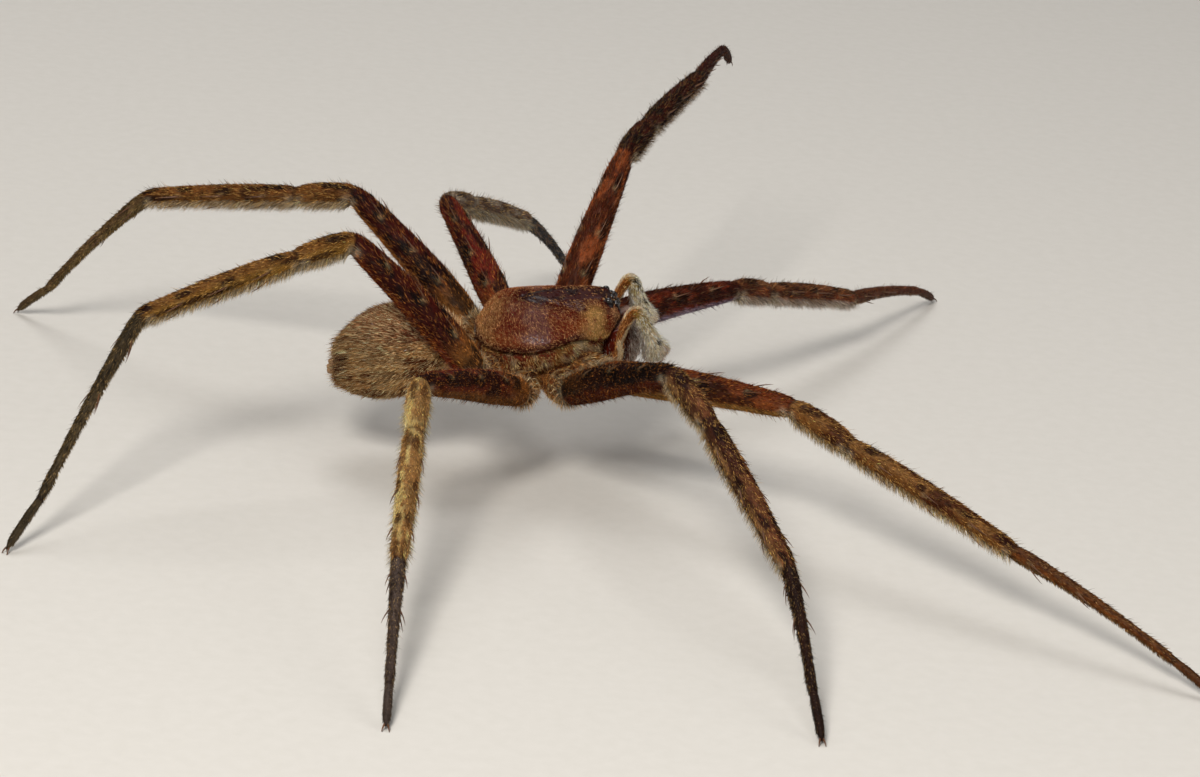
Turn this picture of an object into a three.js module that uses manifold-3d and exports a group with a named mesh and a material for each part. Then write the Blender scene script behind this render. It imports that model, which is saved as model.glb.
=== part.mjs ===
import * as THREE from "three";
import Module from "manifold-3d";

const wasm = await Module();
wasm.setup();

// Huntsman spider at life size. Millimetres and degrees, +X ahead, +Y to the left, +Z up, floor at zero.
// The trunk is drawn in its own frame, level and with its origin over the breast plate,
// and is then lifted, nose up and a little rolled, to the height at which the legs carry it.
const trunkHeight = 11.2;
const trunkPitch = 5;
const trunkRoll = 3;
const jointGap = 0.3;
const eyeGap = 0.12;
const footHeight = 0.3;

const radians = THREE.MathUtils.degToRad;
const trunkFrame = new THREE.Matrix4()
  .makeRotationX(radians(trunkRoll))
  .multiply(new THREE.Matrix4().makeRotationY(radians(-trunkPitch)))
  .setPosition(0, 0, trunkHeight);

function vec(x, y, z) {
  return new THREE.Vector3(x, y, z);
}

function heading(turn, rise) {
  const flat = Math.cos(radians(rise));
  return vec(flat * Math.cos(radians(turn)), flat * Math.sin(radians(turn)), Math.sin(radians(rise)));
}

// A smooth value at a place along named stops, each stop a place and its value.
function along(stops, place) {
  let k = 0;
  while (k < stops.length - 2 && place > stops[k + 1][0]) {
    k += 1;
  }
  const [a, b] = [stops[k], stops[k + 1]];
  const before = stops[Math.max(k - 1, 0)];
  const after = stops[Math.min(k + 2, stops.length - 1)];
  const span = b[0] - a[0];
  const t = THREE.MathUtils.clamp((place - a[0]) / span, 0, 1);
  const slopeA = k > 0 ? ((b[1] - before[1]) / (b[0] - before[0])) * span : b[1] - a[1];
  const slopeB = k < stops.length - 2 ? ((after[1] - a[1]) / (after[0] - a[0])) * span : b[1] - a[1];
  const t2 = t * t;
  const t3 = t2 * t;
  return (2 * t3 - 3 * t2 + 1) * a[1] + (t3 - 2 * t2 + t) * slopeA
    + (3 * t2 - 2 * t3) * b[1] + (t3 - t2) * slopeB;
}

// A closed body through rings of points, with a flat face over its first ring, and over its last one too
// where it has no tip to run out to.
function bodyThrough(rings, tip = null) {
  const count = rings[0].length;
  const points = rings.flat();
  const faces = [];
  for (let r = 0; r < rings.length - 1; r += 1) {
    for (let k = 0; k < count; k += 1) {
      const a = r * count + k;
      const b = r * count + ((k + 1) % count);
      faces.push([a, b, b + count], [a, b + count, a + count]);
    }
  }
  const ends = [[0, false], [(rings.length - 1) * count, true]];
  for (const [first, last] of ends) {
    const middle = vec(0, 0, 0);
    for (let k = 0; k < count; k += 1) {
      middle.add(points[first + k]);
    }
    middle.divideScalar(count);
    const centre = points.push(last && tip ? tip : middle) - 1;
    for (let k = 0; k < count; k += 1) {
      const a = first + k;
      const b = first + ((k + 1) % count);
      faces.push(last ? [a, b, centre] : [b, a, centre]);
    }
  }
  return solid(points, faces);
}

// A solid from points and faces, turned so that its faces look outwards.
function solid(points, faces) {
  let volume = 0;
  for (const [a, b, c] of faces) {
    volume += points[a].dot(vec(0, 0, 0).crossVectors(points[b], points[c]));
  }
  const triVerts = new Uint32Array(faces.length * 3);
  faces.forEach(([a, b, c], k) => triVerts.set(volume > 0 ? [a, b, c] : [a, c, b], k * 3));
  const vertProperties = new Float32Array(points.length * 3);
  points.forEach((p, k) => vertProperties.set([p.x, p.y, p.z], k * 3));
  return new wasm.Manifold(new wasm.Mesh({ numProp: 3, vertProperties, triVerts }));
}

// Only the largest closed surface of a solid is kept.
function wholePiece(joined) {
  const pieces = joined.decompose();
  pieces.sort((a, b) => b.volume() - a.volume());
  return pieces[0];
}

function fused(pieces) {
  return wholePiece(pieces.reduce((all, piece) => all.add(piece)));
}

// An oval ring round a place. It is drawn square to the axis and then slid along it into the cutting plane,
// so that two limbs which meet at a bend end in the same oval.
function ovalRing(place, axis, across, over, halfWide, halfDeep, cut, sides) {
  const ring = [];
  for (let k = 0; k < sides; k += 1) {
    const a = (2 * Math.PI * (k + 0.5)) / sides;
    const out = across.clone().multiplyScalar(halfWide * Math.cos(a))
      .addScaledVector(over, halfDeep * Math.sin(a));
    const slide = -out.dot(cut) / axis.dot(cut);
    ring.push(place.clone().add(out).addScaledVector(axis, slide));
  }
  return ring;
}

function crossways(axis) {
  const across = vec(0, 0, 1).cross(axis).normalize();
  const over = axis.clone().cross(across).normalize();
  return [across, over];
}

// One joint of a limb between two places. Its two ends lie in the planes that halve the bends, and stand
// off from them by half a gap. Thickness gives the half width at stops from 0 at the root to 1 at the end.
function limbPiece(limb) {
  const { from, to, startCut, endCut, thickness, sides, rings } = limb;
  const axis = to.clone().sub(from).normalize();
  const length = to.distanceTo(from);
  const [across, over] = crossways(axis);
  const flatness = limb.flatness ?? 1;
  const bow = limb.bow ?? 0;
  const startGap = limb.startGap ?? jointGap / 2;
  const endGap = limb.endGap ?? jointGap / 2;
  const begin = startGap / axis.dot(startCut);
  const finish = length - endGap / axis.dot(endCut);
  const made = [];
  for (let k = 0; k <= rings; k += 1) {
    const eased = limb.even ? k / rings : 0.5 - 0.5 * Math.cos((Math.PI * k) / rings);
    const share = THREE.MathUtils.lerp(k / rings, eased, 0.6);
    const half = along(thickness, share);
    const rise = 4 * bow * share * (1 - share);
    const nearStart = Math.max(0, 1 - share / 0.5);
    const nearEnd = Math.max(0, 1 - (1 - share) / 0.5);
    const cut = axis.clone();
    cut.lerp(startCut, nearStart).lerp(endCut, nearEnd).normalize();
    const place = from.clone().addScaledVector(axis, begin + (finish - begin) * share)
      .addScaledVector(over, rise);
    made.push(ovalRing(place, axis, across, over, half, half * flatness, cut, sides));
  }
  return made;
}

// A tube with bends drawn as one body: each ring at a bend lies in the plane that halves it.
function bentTube(stops, sides, flatness = 1, tip = null) {
  const made = [];
  const step = (k) => stops[k + 1].at.clone().sub(stops[k].at).normalize();
  for (let k = 0; k < stops.length; k += 1) {
    const into = step(Math.max(k - 1, 0));
    const outOf = step(Math.min(k, stops.length - 2));
    const cut = stops[k].cut ?? into.clone().add(outOf).normalize();
    const [across, over] = crossways(into);
    const half = stops[k].half;
    made.push(ovalRing(stops[k].at, into, across, over, half, half * flatness, cut, sides));
  }
  return bodyThrough(made, tip);
}

const spider = new THREE.Group();
spider.name = "huntsman_spider";

function addNode(name, body, look) {
  const { vertProperties, triVerts, numProp } = body.getMesh();
  const places = new Float32Array(triVerts.length * 3);
  triVerts.forEach((v, k) => {
    for (let c = 0; c < 3; c += 1) {
      places[k * 3 + c] = vertProperties[v * numProp + c];
    }
  });
  const geometry = new THREE.BufferGeometry();
  geometry.setAttribute("position", new THREE.BufferAttribute(places, 3));
  geometry.computeVertexNormals();
  const material = new THREE.MeshStandardMaterial({
    color: look.colour, roughness: look.roughness, metalness: 0, name: look.name,
  });
  const mesh = new THREE.Mesh(geometry, material);
  mesh.name = name;
  spider.add(mesh);
}

function ontoTrunk(body) {
  return body.transform(trunkFrame.elements);
}

// Looks, as the animal's coat and shell show them.
const looks = {
  carapace: { name: "carapace_shell", colour: 0x7a4a34, roughness: 0.6 },
  belly: { name: "coxa_fur", colour: 0x9a7457, roughness: 0.8 },
  abdomen: { name: "abdomen_fur", colour: 0xb3977a, roughness: 0.9 },
  spinneret: { name: "spinneret_fur", colour: 0x7d6450, roughness: 0.9 },
  jaw: { name: "chelicera_shell", colour: 0x4a1f1a, roughness: 0.4 },
  fang: { name: "fang_horn", colour: 0x1c0d0b, roughness: 0.25 },
  feeler: { name: "palp_fur", colour: 0xc7b394, roughness: 0.85 },
  eye: { name: "eye_lens", colour: 0x15120f, roughness: 0.08 },
  femur: { name: "femur_fur", colour: 0x6b3b2a, roughness: 0.8 },
  patella: { name: "patella_fur", colour: 0xb69a74, roughness: 0.8 },
  tibia: { name: "tibia_fur", colour: 0xa98a66, roughness: 0.8 },
  metatarsus: { name: "metatarsus_fur", colour: 0x6d5648, roughness: 0.8 },
  tarsus: { name: "tarsus_fur", colour: 0x7a6654, roughness: 0.85 },
};

// Carapace
// A flat-topped shield, widest over the second and third legs, with a steep rear and a high front.
const carapaceRear = -4.65;
const carapaceFront = 6.25;
const carapaceHalfWidth = [
  [-4.65, 1.6], [-4.15, 2.7], [-3.2, 3.8], [-1.6, 4.65], [0.2, 4.9], [2.0, 4.6], [3.4, 3.9],
  [4.7, 3.05], [5.7, 2.2], [6.25, 1.45],
];
const carapaceCrest = [
  [-4.65, 0.5], [-4.15, 1.1], [-3.6, 1.95], [-3.0, 2.6], [-2.0, 2.95], [0.2, 3.0], [2.6, 2.98],
  [4.6, 3.02], [5.4, 2.9], [5.95, 2.5], [6.25, 1.95],
];
// The rim runs low behind, lifts over the first two legs and dips again at the corners of the head.
const carapaceRim = [
  [-4.65, 0.3], [-4.1, 0.0], [-3.2, -0.06], [-2.0, 0.04], [-0.6, 0.16], [0.6, 0.4], [1.6, 0.66],
  [2.6, 0.84], [3.4, 0.76], [4.2, 0.46], [4.9, 0.26], [5.3, 0.42], [5.8, 1.1], [6.25, 1.6],
];
const undersideHeight = [
  [-4.65, -0.25], [-2.0, -0.35], [1.0, -0.25], [3.0, 0.0], [4.4, 0.35], [5.5, 0.88], [6.25, 1.25],
];
const squareness = [[-4.65, 2.2], [2.4, 2.2], [4.6, 3.0], [6.25, 3.0]];
const domeRoundness = 0.62;
const foveaPlace = -1.6;

// Depth of the short middle groove, and of the two grooves that part the head from the thorax.
function grooveDepth(x, y) {
  const middle = 0.3 * Math.exp(-((y / 0.35) ** 2) - ((x - foveaPlace) / 0.9) ** 2);
  const spread = Math.abs(y) - 0.75 * (x - foveaPlace);
  const neck = x > foveaPlace ? 0.28 * Math.exp(-((spread / 0.45) ** 2)) : 0;
  return middle + neck * THREE.MathUtils.smoothstep(3.6 - x, 0, 1.2);
}

function carapaceTop(x, y) {
  const half = along(carapaceHalfWidth, x);
  const base = along(carapaceRim, x);
  const share = Math.min(1, Math.abs(y) / half);
  const dome = (1 - share ** along(squareness, x)) ** domeRoundness;
  return base + (along(carapaceCrest, x) - base) * dome - grooveDepth(x, y) * dome;
}

function carapaceRings() {
  const topSteps = 18;
  const underSteps = 6;
  const stations = 24;
  const made = [];
  for (let k = 0; k <= stations; k += 1) {
    const share = k / stations;
    const eased = THREE.MathUtils.lerp(share, 0.5 - 0.5 * Math.cos(Math.PI * share), 0.7);
    const x = THREE.MathUtils.lerp(carapaceRear, carapaceFront, eased);
    const half = along(carapaceHalfWidth, x);
    const rim = along(carapaceRim, x);
    const hollow = along(undersideHeight, x) - rim;
    const ring = [];
    for (let j = 0; j <= topSteps; j += 1) {
      const y = half * Math.cos((Math.PI * j) / topSteps);
      ring.push(vec(x, y, carapaceTop(x, y)));
    }
    for (let j = 1; j < underSteps; j += 1) {
      const y = half * (-1 + (2 * j) / underSteps);
      ring.push(vec(x, y, rim + hollow * (1 - (y / half) ** 4)));
    }
    made.push(ring);
  }
  return made;
}

// Eyes
// Two rows of four on the front slope of the head. Each is a ball set deep into its own socket.
const eyes = [
  { name: "front_middle", x: 6.14, y: 0.32, half: 0.2 },
  { name: "front_side", x: 5.98, y: 0.92, half: 0.27 },
  { name: "rear_middle", x: 5.66, y: 0.42, half: 0.2 },
  { name: "rear_side", x: 5.34, y: 1.25, half: 0.29 },
];

function headNormal(x, y) {
  const small = 0.15;
  const slopeX = (carapaceTop(x + small, y) - carapaceTop(x - small, y)) / (2 * small);
  const slopeY = (carapaceTop(x, y + small) - carapaceTop(x, y - small)) / (2 * small);
  return vec(-slopeX, -slopeY, 1).normalize();
}

function eyeCentre(x, y, half) {
  const sunk = 0.45;
  return vec(x, y, carapaceTop(x, y)).addScaledVector(headNormal(x, y), -half * sunk);
}

function ball(centre, half, sides) {
  const rings = [];
  const rows = sides / 2;
  for (let k = 0; k < rows; k += 1) {
    const a = (Math.PI * (k + 0.5)) / rows;
    const ring = [];
    for (let j = 0; j < sides; j += 1) {
      const b = (2 * Math.PI * j) / sides;
      const out = vec(Math.sin(a) * Math.cos(b), Math.sin(a) * Math.sin(b), Math.cos(a));
      ring.push(centre.clone().addScaledVector(out, half));
    }
    rings.push(ring);
  }
  return bodyThrough(rings);
}

const wholeCarapace = bodyThrough(carapaceRings());
let carapace = wholeCarapace;
for (const eye of eyes) {
  for (const [sideName, side] of [["left", 1], ["right", -1]]) {
    const centre = eyeCentre(eye.x, side * eye.y, eye.half);
    carapace = carapace.subtract(ball(centre, eye.half + eyeGap, 8));
    addNode(`eye_${eye.name}_${sideName}`, ontoTrunk(ball(centre, eye.half, 8)), looks.eye);
  }
}
addNode("carapace", ontoTrunk(wholePiece(carapace)), looks.carapace);

// Legs
// Lengths run from the hip to the claws. The first angles are the way that the femur points, that the
// patella and tibia point, and that the metatarsus and tarsus point, seen from above.
// The rises are those of femur, patella, tibia and tarsus. The metatarsus reaches down as far as it must.
const legLengths = {
  1: { femur: 15.8, patella: 5.5, tibia: 14.8, metatarsus: 14.2, tarsus: 4.2 },
  2: { femur: 15.1, patella: 5.8, tibia: 13.7, metatarsus: 11.0, tarsus: 4.2 },
  3: { femur: 14.9, patella: 5.3, tibia: 12.9, metatarsus: 12.2, tarsus: 3.8 },
  4: { femur: 13.8, patella: 4.8, tibia: 12.8, metatarsus: 15.2, tarsus: 4.5 },
};
const hips = {
  1: { x: 4.5, y: 4.9, z: -1.7, innerX: 2.4, innerY: 1.9 },
  2: { x: 2.0, y: 6.0, z: -2.5, innerX: 0.9, innerY: 2.2 },
  3: { x: -1.5, y: 6.0, z: -2.5, innerX: -0.9, innerY: 2.2 },
  4: { x: -4.5, y: 4.8, z: -1.6, innerX: -2.5, innerY: 1.8 },
};
const poses = [
  { side: "right", pair: 1, turns: [-34, -42, -41], rises: [5, -15, -14, -24] },
  { side: "right", pair: 2, turns: [-65, -66, -85], rises: [24, -16, -27, -27] },
  { side: "right", pair: 3, turns: [-126, -96, -94], rises: [17, -21, -22, -22] },
  { side: "right", pair: 4, turns: [173, -153, -128], rises: [43, -11, -14, -39] },
  { side: "left", pair: 1, turns: [40, 52, 57], rises: [0, -15, -15, -24] },
  { side: "left", pair: 2, turns: [60, 67, 73], rises: [50, 9, 3, -30], raised: -2 },
  { side: "left", pair: 3, turns: [110, 63, 65], rises: [23, -17, -20, -32] },
  { side: "left", pair: 4, turns: [144, 156, 133], rises: [34, -11, -11, -39] },
];
const jointNames = ["femur", "patella", "tibia", "metatarsus", "tarsus"];
const thickness = {
  femur: [[0, 1.12], [0.1, 1.32], [0.35, 1.4], [0.7, 1.18], [0.92, 1.0], [1, 0.88]],
  patella: [[0, 0.84], [0.18, 0.97], [0.55, 1.0], [0.85, 0.94], [1, 0.84]],
  tibia: [[0, 0.82], [0.1, 0.9], [0.45, 0.9], [0.85, 0.78], [0.95, 0.78], [1, 0.66]],
  metatarsus: [[0, 0.56], [0.08, 0.6], [0.3, 0.52], [0.8, 0.4], [0.94, 0.42], [1, 0.36]],
  tarsus: [[0, 0.34], [0.15, 0.38], [0.6, 0.37], [0.9, 0.34], [1, 0.2]],
};
const coxaThickness = [[0, 1.15], [0.4, 1.36], [0.8, 1.34], [1, 1.08]];
const coxaRingsPerMm = 1.2;
const bows = { femur: 0.25, patella: 0.12, tibia: 0.15, metatarsus: 0.3, tarsus: 0.08 };
const ringCounts = { femur: 9, patella: 6, tibia: 8, metatarsus: 7, tarsus: 5 };
const sideCounts = { coxa: 10, femur: 10, patella: 10, tibia: 10, metatarsus: 8, tarsus: 8 };
const pairScale = { 1: 1.0, 2: 1.0, 3: 0.96, 4: 1.0 };

function legPath(pose) {
  const lengths = legLengths[pose.pair];
  const hip = hips[pose.pair];
  const side = pose.side === "left" ? 1 : -1;
  const start = vec(hip.x, side * hip.y, hip.z).applyMatrix4(trunkFrame);
  const inner = vec(hip.innerX, side * hip.innerY, hip.z - 0.1).applyMatrix4(trunkFrame);
  const [femurTurn, kneeTurn, footTurn] = pose.turns;
  const [femurRise, patellaRise, tibiaRise, tarsusRise] = pose.rises;
  const directions = [
    heading(femurTurn, femurRise),
    heading(kneeTurn, patellaRise),
    heading(kneeTurn, tibiaRise),
  ];
  const places = [start];
  directions.forEach((d, k) => {
    places.push(places[k].clone().addScaledVector(d, lengths[jointNames[k]]));
  });
  const tarsusDrop = lengths.tarsus * Math.sin(radians(tarsusRise));
  const fall = footHeight - tarsusDrop - places[3].z;
  const reach = THREE.MathUtils.radToDeg(Math.asin(fall / lengths.metatarsus));
  directions.push(heading(footTurn, pose.raised ?? reach));
  directions.push(heading(footTurn, tarsusRise));
  places.push(places[3].clone().addScaledVector(directions[3], lengths.metatarsus));
  places.push(places[4].clone().addScaledVector(directions[4], lengths.tarsus));
  return { inner, places, directions };
}

const underFloor = bodyThrough([-9, 0].map((z) => [
  vec(-90, -90, z), vec(90, -90, z), vec(90, 90, z), vec(-90, 90, z),
]));

// Spines
// Each stands on a limb at a share of its length and an angle round it, leaning towards the foot.
const spineRows = {
  femur: { shares: [0.28, 0.52, 0.78], around: [48, 132], length: 1.7 },
  tibia: { shares: [0.2, 0.48, 0.76], around: [-48, -132], length: 1.9 },
  metatarsus: { shares: [0.12, 0.42], around: [-45, -135], length: 1.7 },
};
const spineHalf = 0.3;
const spineLean = 36;
const spineRoot = 0.4;

// A spike of three sides through its root and middle out to its tip.
function spike(root, middle, tip, half) {
  const way = middle.clone().sub(root).normalize();
  const [wide, high] = crossways(way);
  return bodyThrough([
    ovalRing(root, way, wide, high, half, half, way, 3),
    ovalRing(middle, way, wide, high, half * 0.8, half * 0.8, way, 3),
  ], tip);
}

function spineOn(limb, share, around, length) {
  const axis = limb.to.clone().sub(limb.from).normalize();
  const [across, over] = crossways(axis);
  const out = across.clone().multiplyScalar(Math.cos(radians(around)))
    .addScaledVector(over, Math.sin(radians(around)));
  const girth = along(limb.thickness, share);
  const place = limb.from.clone().lerp(limb.to, share)
    .addScaledVector(over, 4 * limb.bow * share * (1 - share))
    .addScaledVector(out, girth);
  const way = axis.clone().multiplyScalar(Math.cos(radians(spineLean)))
    .addScaledVector(out, Math.sin(radians(spineLean)));
  const bent = way.clone().addScaledVector(axis, 0.25).normalize();
  const root = place.clone().addScaledVector(out, -spineRoot);
  const middle = place.clone().addScaledVector(way, length * 0.5);
  const tip = middle.clone().addScaledVector(bent, length * 0.5);
  return spike(root, middle, tip, spineHalf);
}

// Each foot ends in two small claws over a pad that is flat where it rests.
const clawHalf = 0.28;
const clawReach = 0.5;

function clawPair(tip, axis) {
  const [across, over] = crossways(axis);
  return [1, -1].map((side) => {
    const root = tip.clone().addScaledVector(across, side * 0.1).addScaledVector(axis, -0.5);
    const middle = tip.clone().addScaledVector(across, side * 0.22).addScaledVector(over, 0.04);
    const end = tip.clone().addScaledVector(across, side * 0.34).addScaledVector(axis, clawReach)
      .addScaledVector(over, -0.12);
    return spike(root, middle, end, clawHalf);
  });
}

const coxae = [];
for (const pose of poses) {
  const { inner, places, directions } = legPath(pose);
  const coxaWay = places[0].clone().sub(inner).normalize();
  const ways = [coxaWay, ...directions];
  const scale = pairScale[pose.pair];
  const cuts = ways.slice(1).map((way, k) => way.clone().add(ways[k]).normalize());
  cuts.push(directions[4]);
  const coxaLength = places[0].distanceTo(inner);
  coxae.push(bodyThrough(limbPiece({
    from: inner, to: places[0], startCut: coxaWay, endCut: cuts[0], startGap: -0.2,
    thickness: coxaThickness, sides: sideCounts.coxa, rings: Math.round(coxaLength * coxaRingsPerMm),
  })));
  jointNames.forEach((joint, k) => {
    const limb = {
      from: places[k], to: places[k + 1], startCut: cuts[k], endCut: cuts[k + 1],
      endGap: joint === "tarsus" ? 0 : jointGap / 2,
      thickness: thickness[joint].map(([stop, half]) => [stop, half * scale]),
      bow: bows[joint], sides: sideCounts[joint], rings: ringCounts[joint],
    };
    let body = bodyThrough(limbPiece(limb));
    const row = spineRows[joint];
    if (row) {
      const spines = row.shares.flatMap((share) => row.around.map((around) => (
        spineOn(limb, share, around, row.length * scale)
      )));
      body = fused([body, ...spines]);
    }
    if (joint === "tarsus") {
      body = fused([body, ...clawPair(places[5], directions[4])]);
      body = wholePiece(body.subtract(underFloor));
    }
    addNode(`${joint}_${pose.side}_${pose.pair}`, body, looks[joint]);
  });
}

// Breast plate, hips and mouth plates
// One piece: the plate under the carapace, the soft side walls between the two, the eight coxae that stand
// out from it like a star, the two plates beside the mouth that carry the feelers, and the narrow waist.
const breastHalfWidth = [[-4.0, 1.2], [-2.5, 2.3], [0, 2.7], [2.2, 2.3], [3.4, 1.5]];
const breastTop = -0.85;
const breastBottom = -2.9;
const feelerRoot = vec(5.75, 2.95, -1.5);
const feelerRootWay = vec(0.6, 0.1, 0.8);
const waistHalf = 0.65;
const wallStations = [-4.2, -3.2, -1.6, 0.2, 1.6, 2.6, 3.4, 4.2];
const wallInset = 0.45;
const wallHalfDepth = 1.0;
const wallDrop = 0.75;

function breastPlate() {
  const rings = [];
  const stations = 10;
  for (let k = 0; k <= stations; k += 1) {
    const x = THREE.MathUtils.lerp(-4.0, 3.4, k / stations);
    const middle = vec(x, 0, (breastTop + breastBottom) / 2);
    const ends = 1 - 0.35 * Math.abs(2 * (k / stations) - 1) ** 3;
    const deep = ((breastTop - breastBottom) / 2) * ends;
    rings.push(ovalRing(middle, vec(1, 0, 0), vec(0, 1, 0), vec(0, 0, 1),
      along(breastHalfWidth, x), deep, vec(1, 0, 0), 16));
  }
  return ontoTrunk(bodyThrough(rings));
}

function sideWalls() {
  return ontoTrunk(bodyThrough(wallStations.map((x) => ovalRing(
    vec(x, 0, along(carapaceRim, x) - wallDrop), vec(1, 0, 0), vec(0, 1, 0), vec(0, 0, 1),
    along(carapaceHalfWidth, x) - wallInset, wallHalfDepth, vec(1, 0, 0), 20,
  ))));
}

function mouthPlate(side) {
  const end = vec(feelerRoot.x, side * feelerRoot.y, feelerRoot.z);
  const way = vec(feelerRootWay.x, side * feelerRootWay.y, feelerRootWay.z).normalize();
  const stops = [
    { at: vec(2.3, side * 1.4, -2.1), half: 0.75 },
    { at: vec(3.6, side * 2.5, -1.9), half: 0.78 },
    { at: vec(4.9, side * 2.9, -1.85), half: 0.58 },
    { at: end.clone().addScaledVector(way, -jointGap / 2), half: 0.5, cut: way },
  ];
  return ontoTrunk(bentTube(stops, 10));
}

const waist = ontoTrunk(bodyThrough([-3.6, -5.0].map((x) => ovalRing(
  vec(x, 0, -0.95), vec(-1, 0, 0), vec(0, 1, 0), vec(0, 0, 1), waistHalf, waistHalf * 0.8, vec(1, 0, 0), 8,
))));
const underCarapace = ontoTrunk(wholeCarapace.translate([0, 0, -jointGap]));
const breast = fused([breastPlate(), sideWalls(), ...coxae, mouthPlate(1), mouthPlate(-1), waist])
  .subtract(underCarapace);
addNode("sternum_and_coxae", wholePiece(breast), looks.belly);

// Abdomen
// An egg-shaped body behind the waist, blunt in front and drawn out to the spinnerets behind.
const abdomenFront = -5.3;
const abdomenRear = -15.05;
const abdomenHeight = -1.35;
const abdomenHalfWidth = [
  [0, 1.1], [0.05, 2.2], [0.18, 3.3], [0.42, 4.05], [0.65, 4.15], [0.85, 3.3], [0.95, 2.25], [1, 1.0],
];
const abdomenDepth = 0.83;
const frontLift = 0.4;
const rearDrop = 1.0;

function abdomenRings() {
  const made = [];
  const stations = 16;
  for (let k = 0; k <= stations; k += 1) {
    const share = 0.5 - 0.5 * Math.cos((Math.PI * k) / stations);
    const half = along(abdomenHalfWidth, share);
    const x = THREE.MathUtils.lerp(abdomenFront, abdomenRear, share);
    const height = abdomenHeight + frontLift * (1 - share) ** 2 - rearDrop * share ** 4;
    made.push(ovalRing(vec(x, 0, height), vec(-1, 0, 0), vec(0, 1, 0), vec(0, 0, 1),
      half, half * abdomenDepth, vec(1, 0, 0), 20));
  }
  return made;
}
addNode("abdomen", ontoTrunk(bodyThrough(abdomenRings())), looks.abdomen);

// Spinnerets
// Two pairs of short cones on a low mound, pointing back.
const spinneretRoot = vec(abdomenRear - jointGap, 0, abdomenHeight - rearDrop - 0.15);

function spinneret(side, height, length, half) {
  const root = spinneretRoot.clone().add(vec(0.15, side * 0.34, height));
  const way = vec(-1, side * 0.12, -0.15 + height * 0.4).normalize();
  return bodyThrough([0, 0.6, 1].map((share) => {
    const [across, over] = crossways(way);
    const place = root.clone().addScaledVector(way, length * share);
    const girth = half * (1 - 0.35 * share);
    return ovalRing(place, way, across, over, girth, girth, share ? way : vec(-1, 0, 0), 8);
  }));
}

const spinneretMound = bodyThrough([0, -0.25].map((step, k) => ovalRing(
  spinneretRoot.clone().add(vec(step, 0, 0)), vec(-1, 0, 0), vec(0, 1, 0), vec(0, 0, 1),
  0.72 - 0.1 * k, 0.6 - 0.1 * k, vec(1, 0, 0), 12,
)));
const spinneretCones = [];
for (const side of [1, -1]) {
  spinneretCones.push(spinneret(side, -0.18, 0.5, 0.36).intersect(behindMound()));
  spinneretCones.push(spinneret(side, 0.24, 0.42, 0.3).intersect(behindMound()));
}

function behindMound() {
  const edge = spinneretRoot.x;
  return bodyThrough([edge, edge - 4].map((x) => [
    vec(x, -3, -6), vec(x, 3, -6), vec(x, 3, 3), vec(x, -3, 3),
  ]));
}
addNode("spinnerets", ontoTrunk(fused([spinneretMound, ...spinneretCones])), looks.spinneret);

// Jaws
// Two stout chelicerae hang from under the front edge of the carapace, each with a folded fang.
const jawStops = [
  { x: 5.75, z: 0.66, y: 1.12, wide: 0.98, deep: 1.35 },
  { x: 6.0, z: -0.3, y: 1.15, wide: 1.06, deep: 1.6 },
  { x: 6.05, z: -1.3, y: 1.12, wide: 1.02, deep: 1.6 },
  { x: 5.95, z: -2.1, y: 1.06, wide: 0.88, deep: 1.3 },
  { x: 5.8, z: -2.85, y: 1.0, wide: 0.66, deep: 0.8 },
];
const jawEnd = jawStops[jawStops.length - 1];
const jawTopTilt = vec(-0.5, 0, 1).normalize();

function jaw(side) {
  const down = vec(0, 0, -1);
  return bodyThrough(jawStops.map((stop, k) => {
    const cut = k === 0 ? jawTopTilt : vec(0, 0, 1).lerp(jawTopTilt, Math.max(0, 0.6 - 0.3 * k)).normalize();
    return ovalRing(vec(stop.x, side * stop.y, stop.z), down, vec(0, 1, 0), vec(1, 0, 0),
      stop.wide, stop.deep, cut, 14);
  }));
}

function fang(side) {
  const stops = [
    { at: vec(jawEnd.x, side * jawEnd.y, jawEnd.z - jointGap), half: 0.32, cut: vec(0, 0, -1) },
    { at: vec(jawEnd.x - 0.05, side * 0.92, jawEnd.z - 0.65), half: 0.29 },
    { at: vec(jawEnd.x - 0.3, side * 0.66, jawEnd.z - 1.0), half: 0.22 },
  ];
  return bentTube(stops, 8, 1, vec(jawEnd.x - 0.7, side * 0.36, jawEnd.z - 1.1));
}
for (const [sideName, side] of [["left", 1], ["right", -1]]) {
  addNode(`chelicera_${sideName}`, ontoTrunk(jaw(side)), looks.jaw);
  addNode(`fang_${sideName}`, ontoTrunk(fang(side)), looks.fang);
}

// Feelers
// The pedipalps rise as thin limbs beside the jaws to a knee as high as the head, then fall forward and
// widen to a furry end. The left one is folded a little more steeply.
const feelerKnee = vec(7.2, 3.25, 2.6);
const feelerLead = { left: 0.12, right: 0 };
const feelerReach = { left: 0.72, right: 1 };

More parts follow.
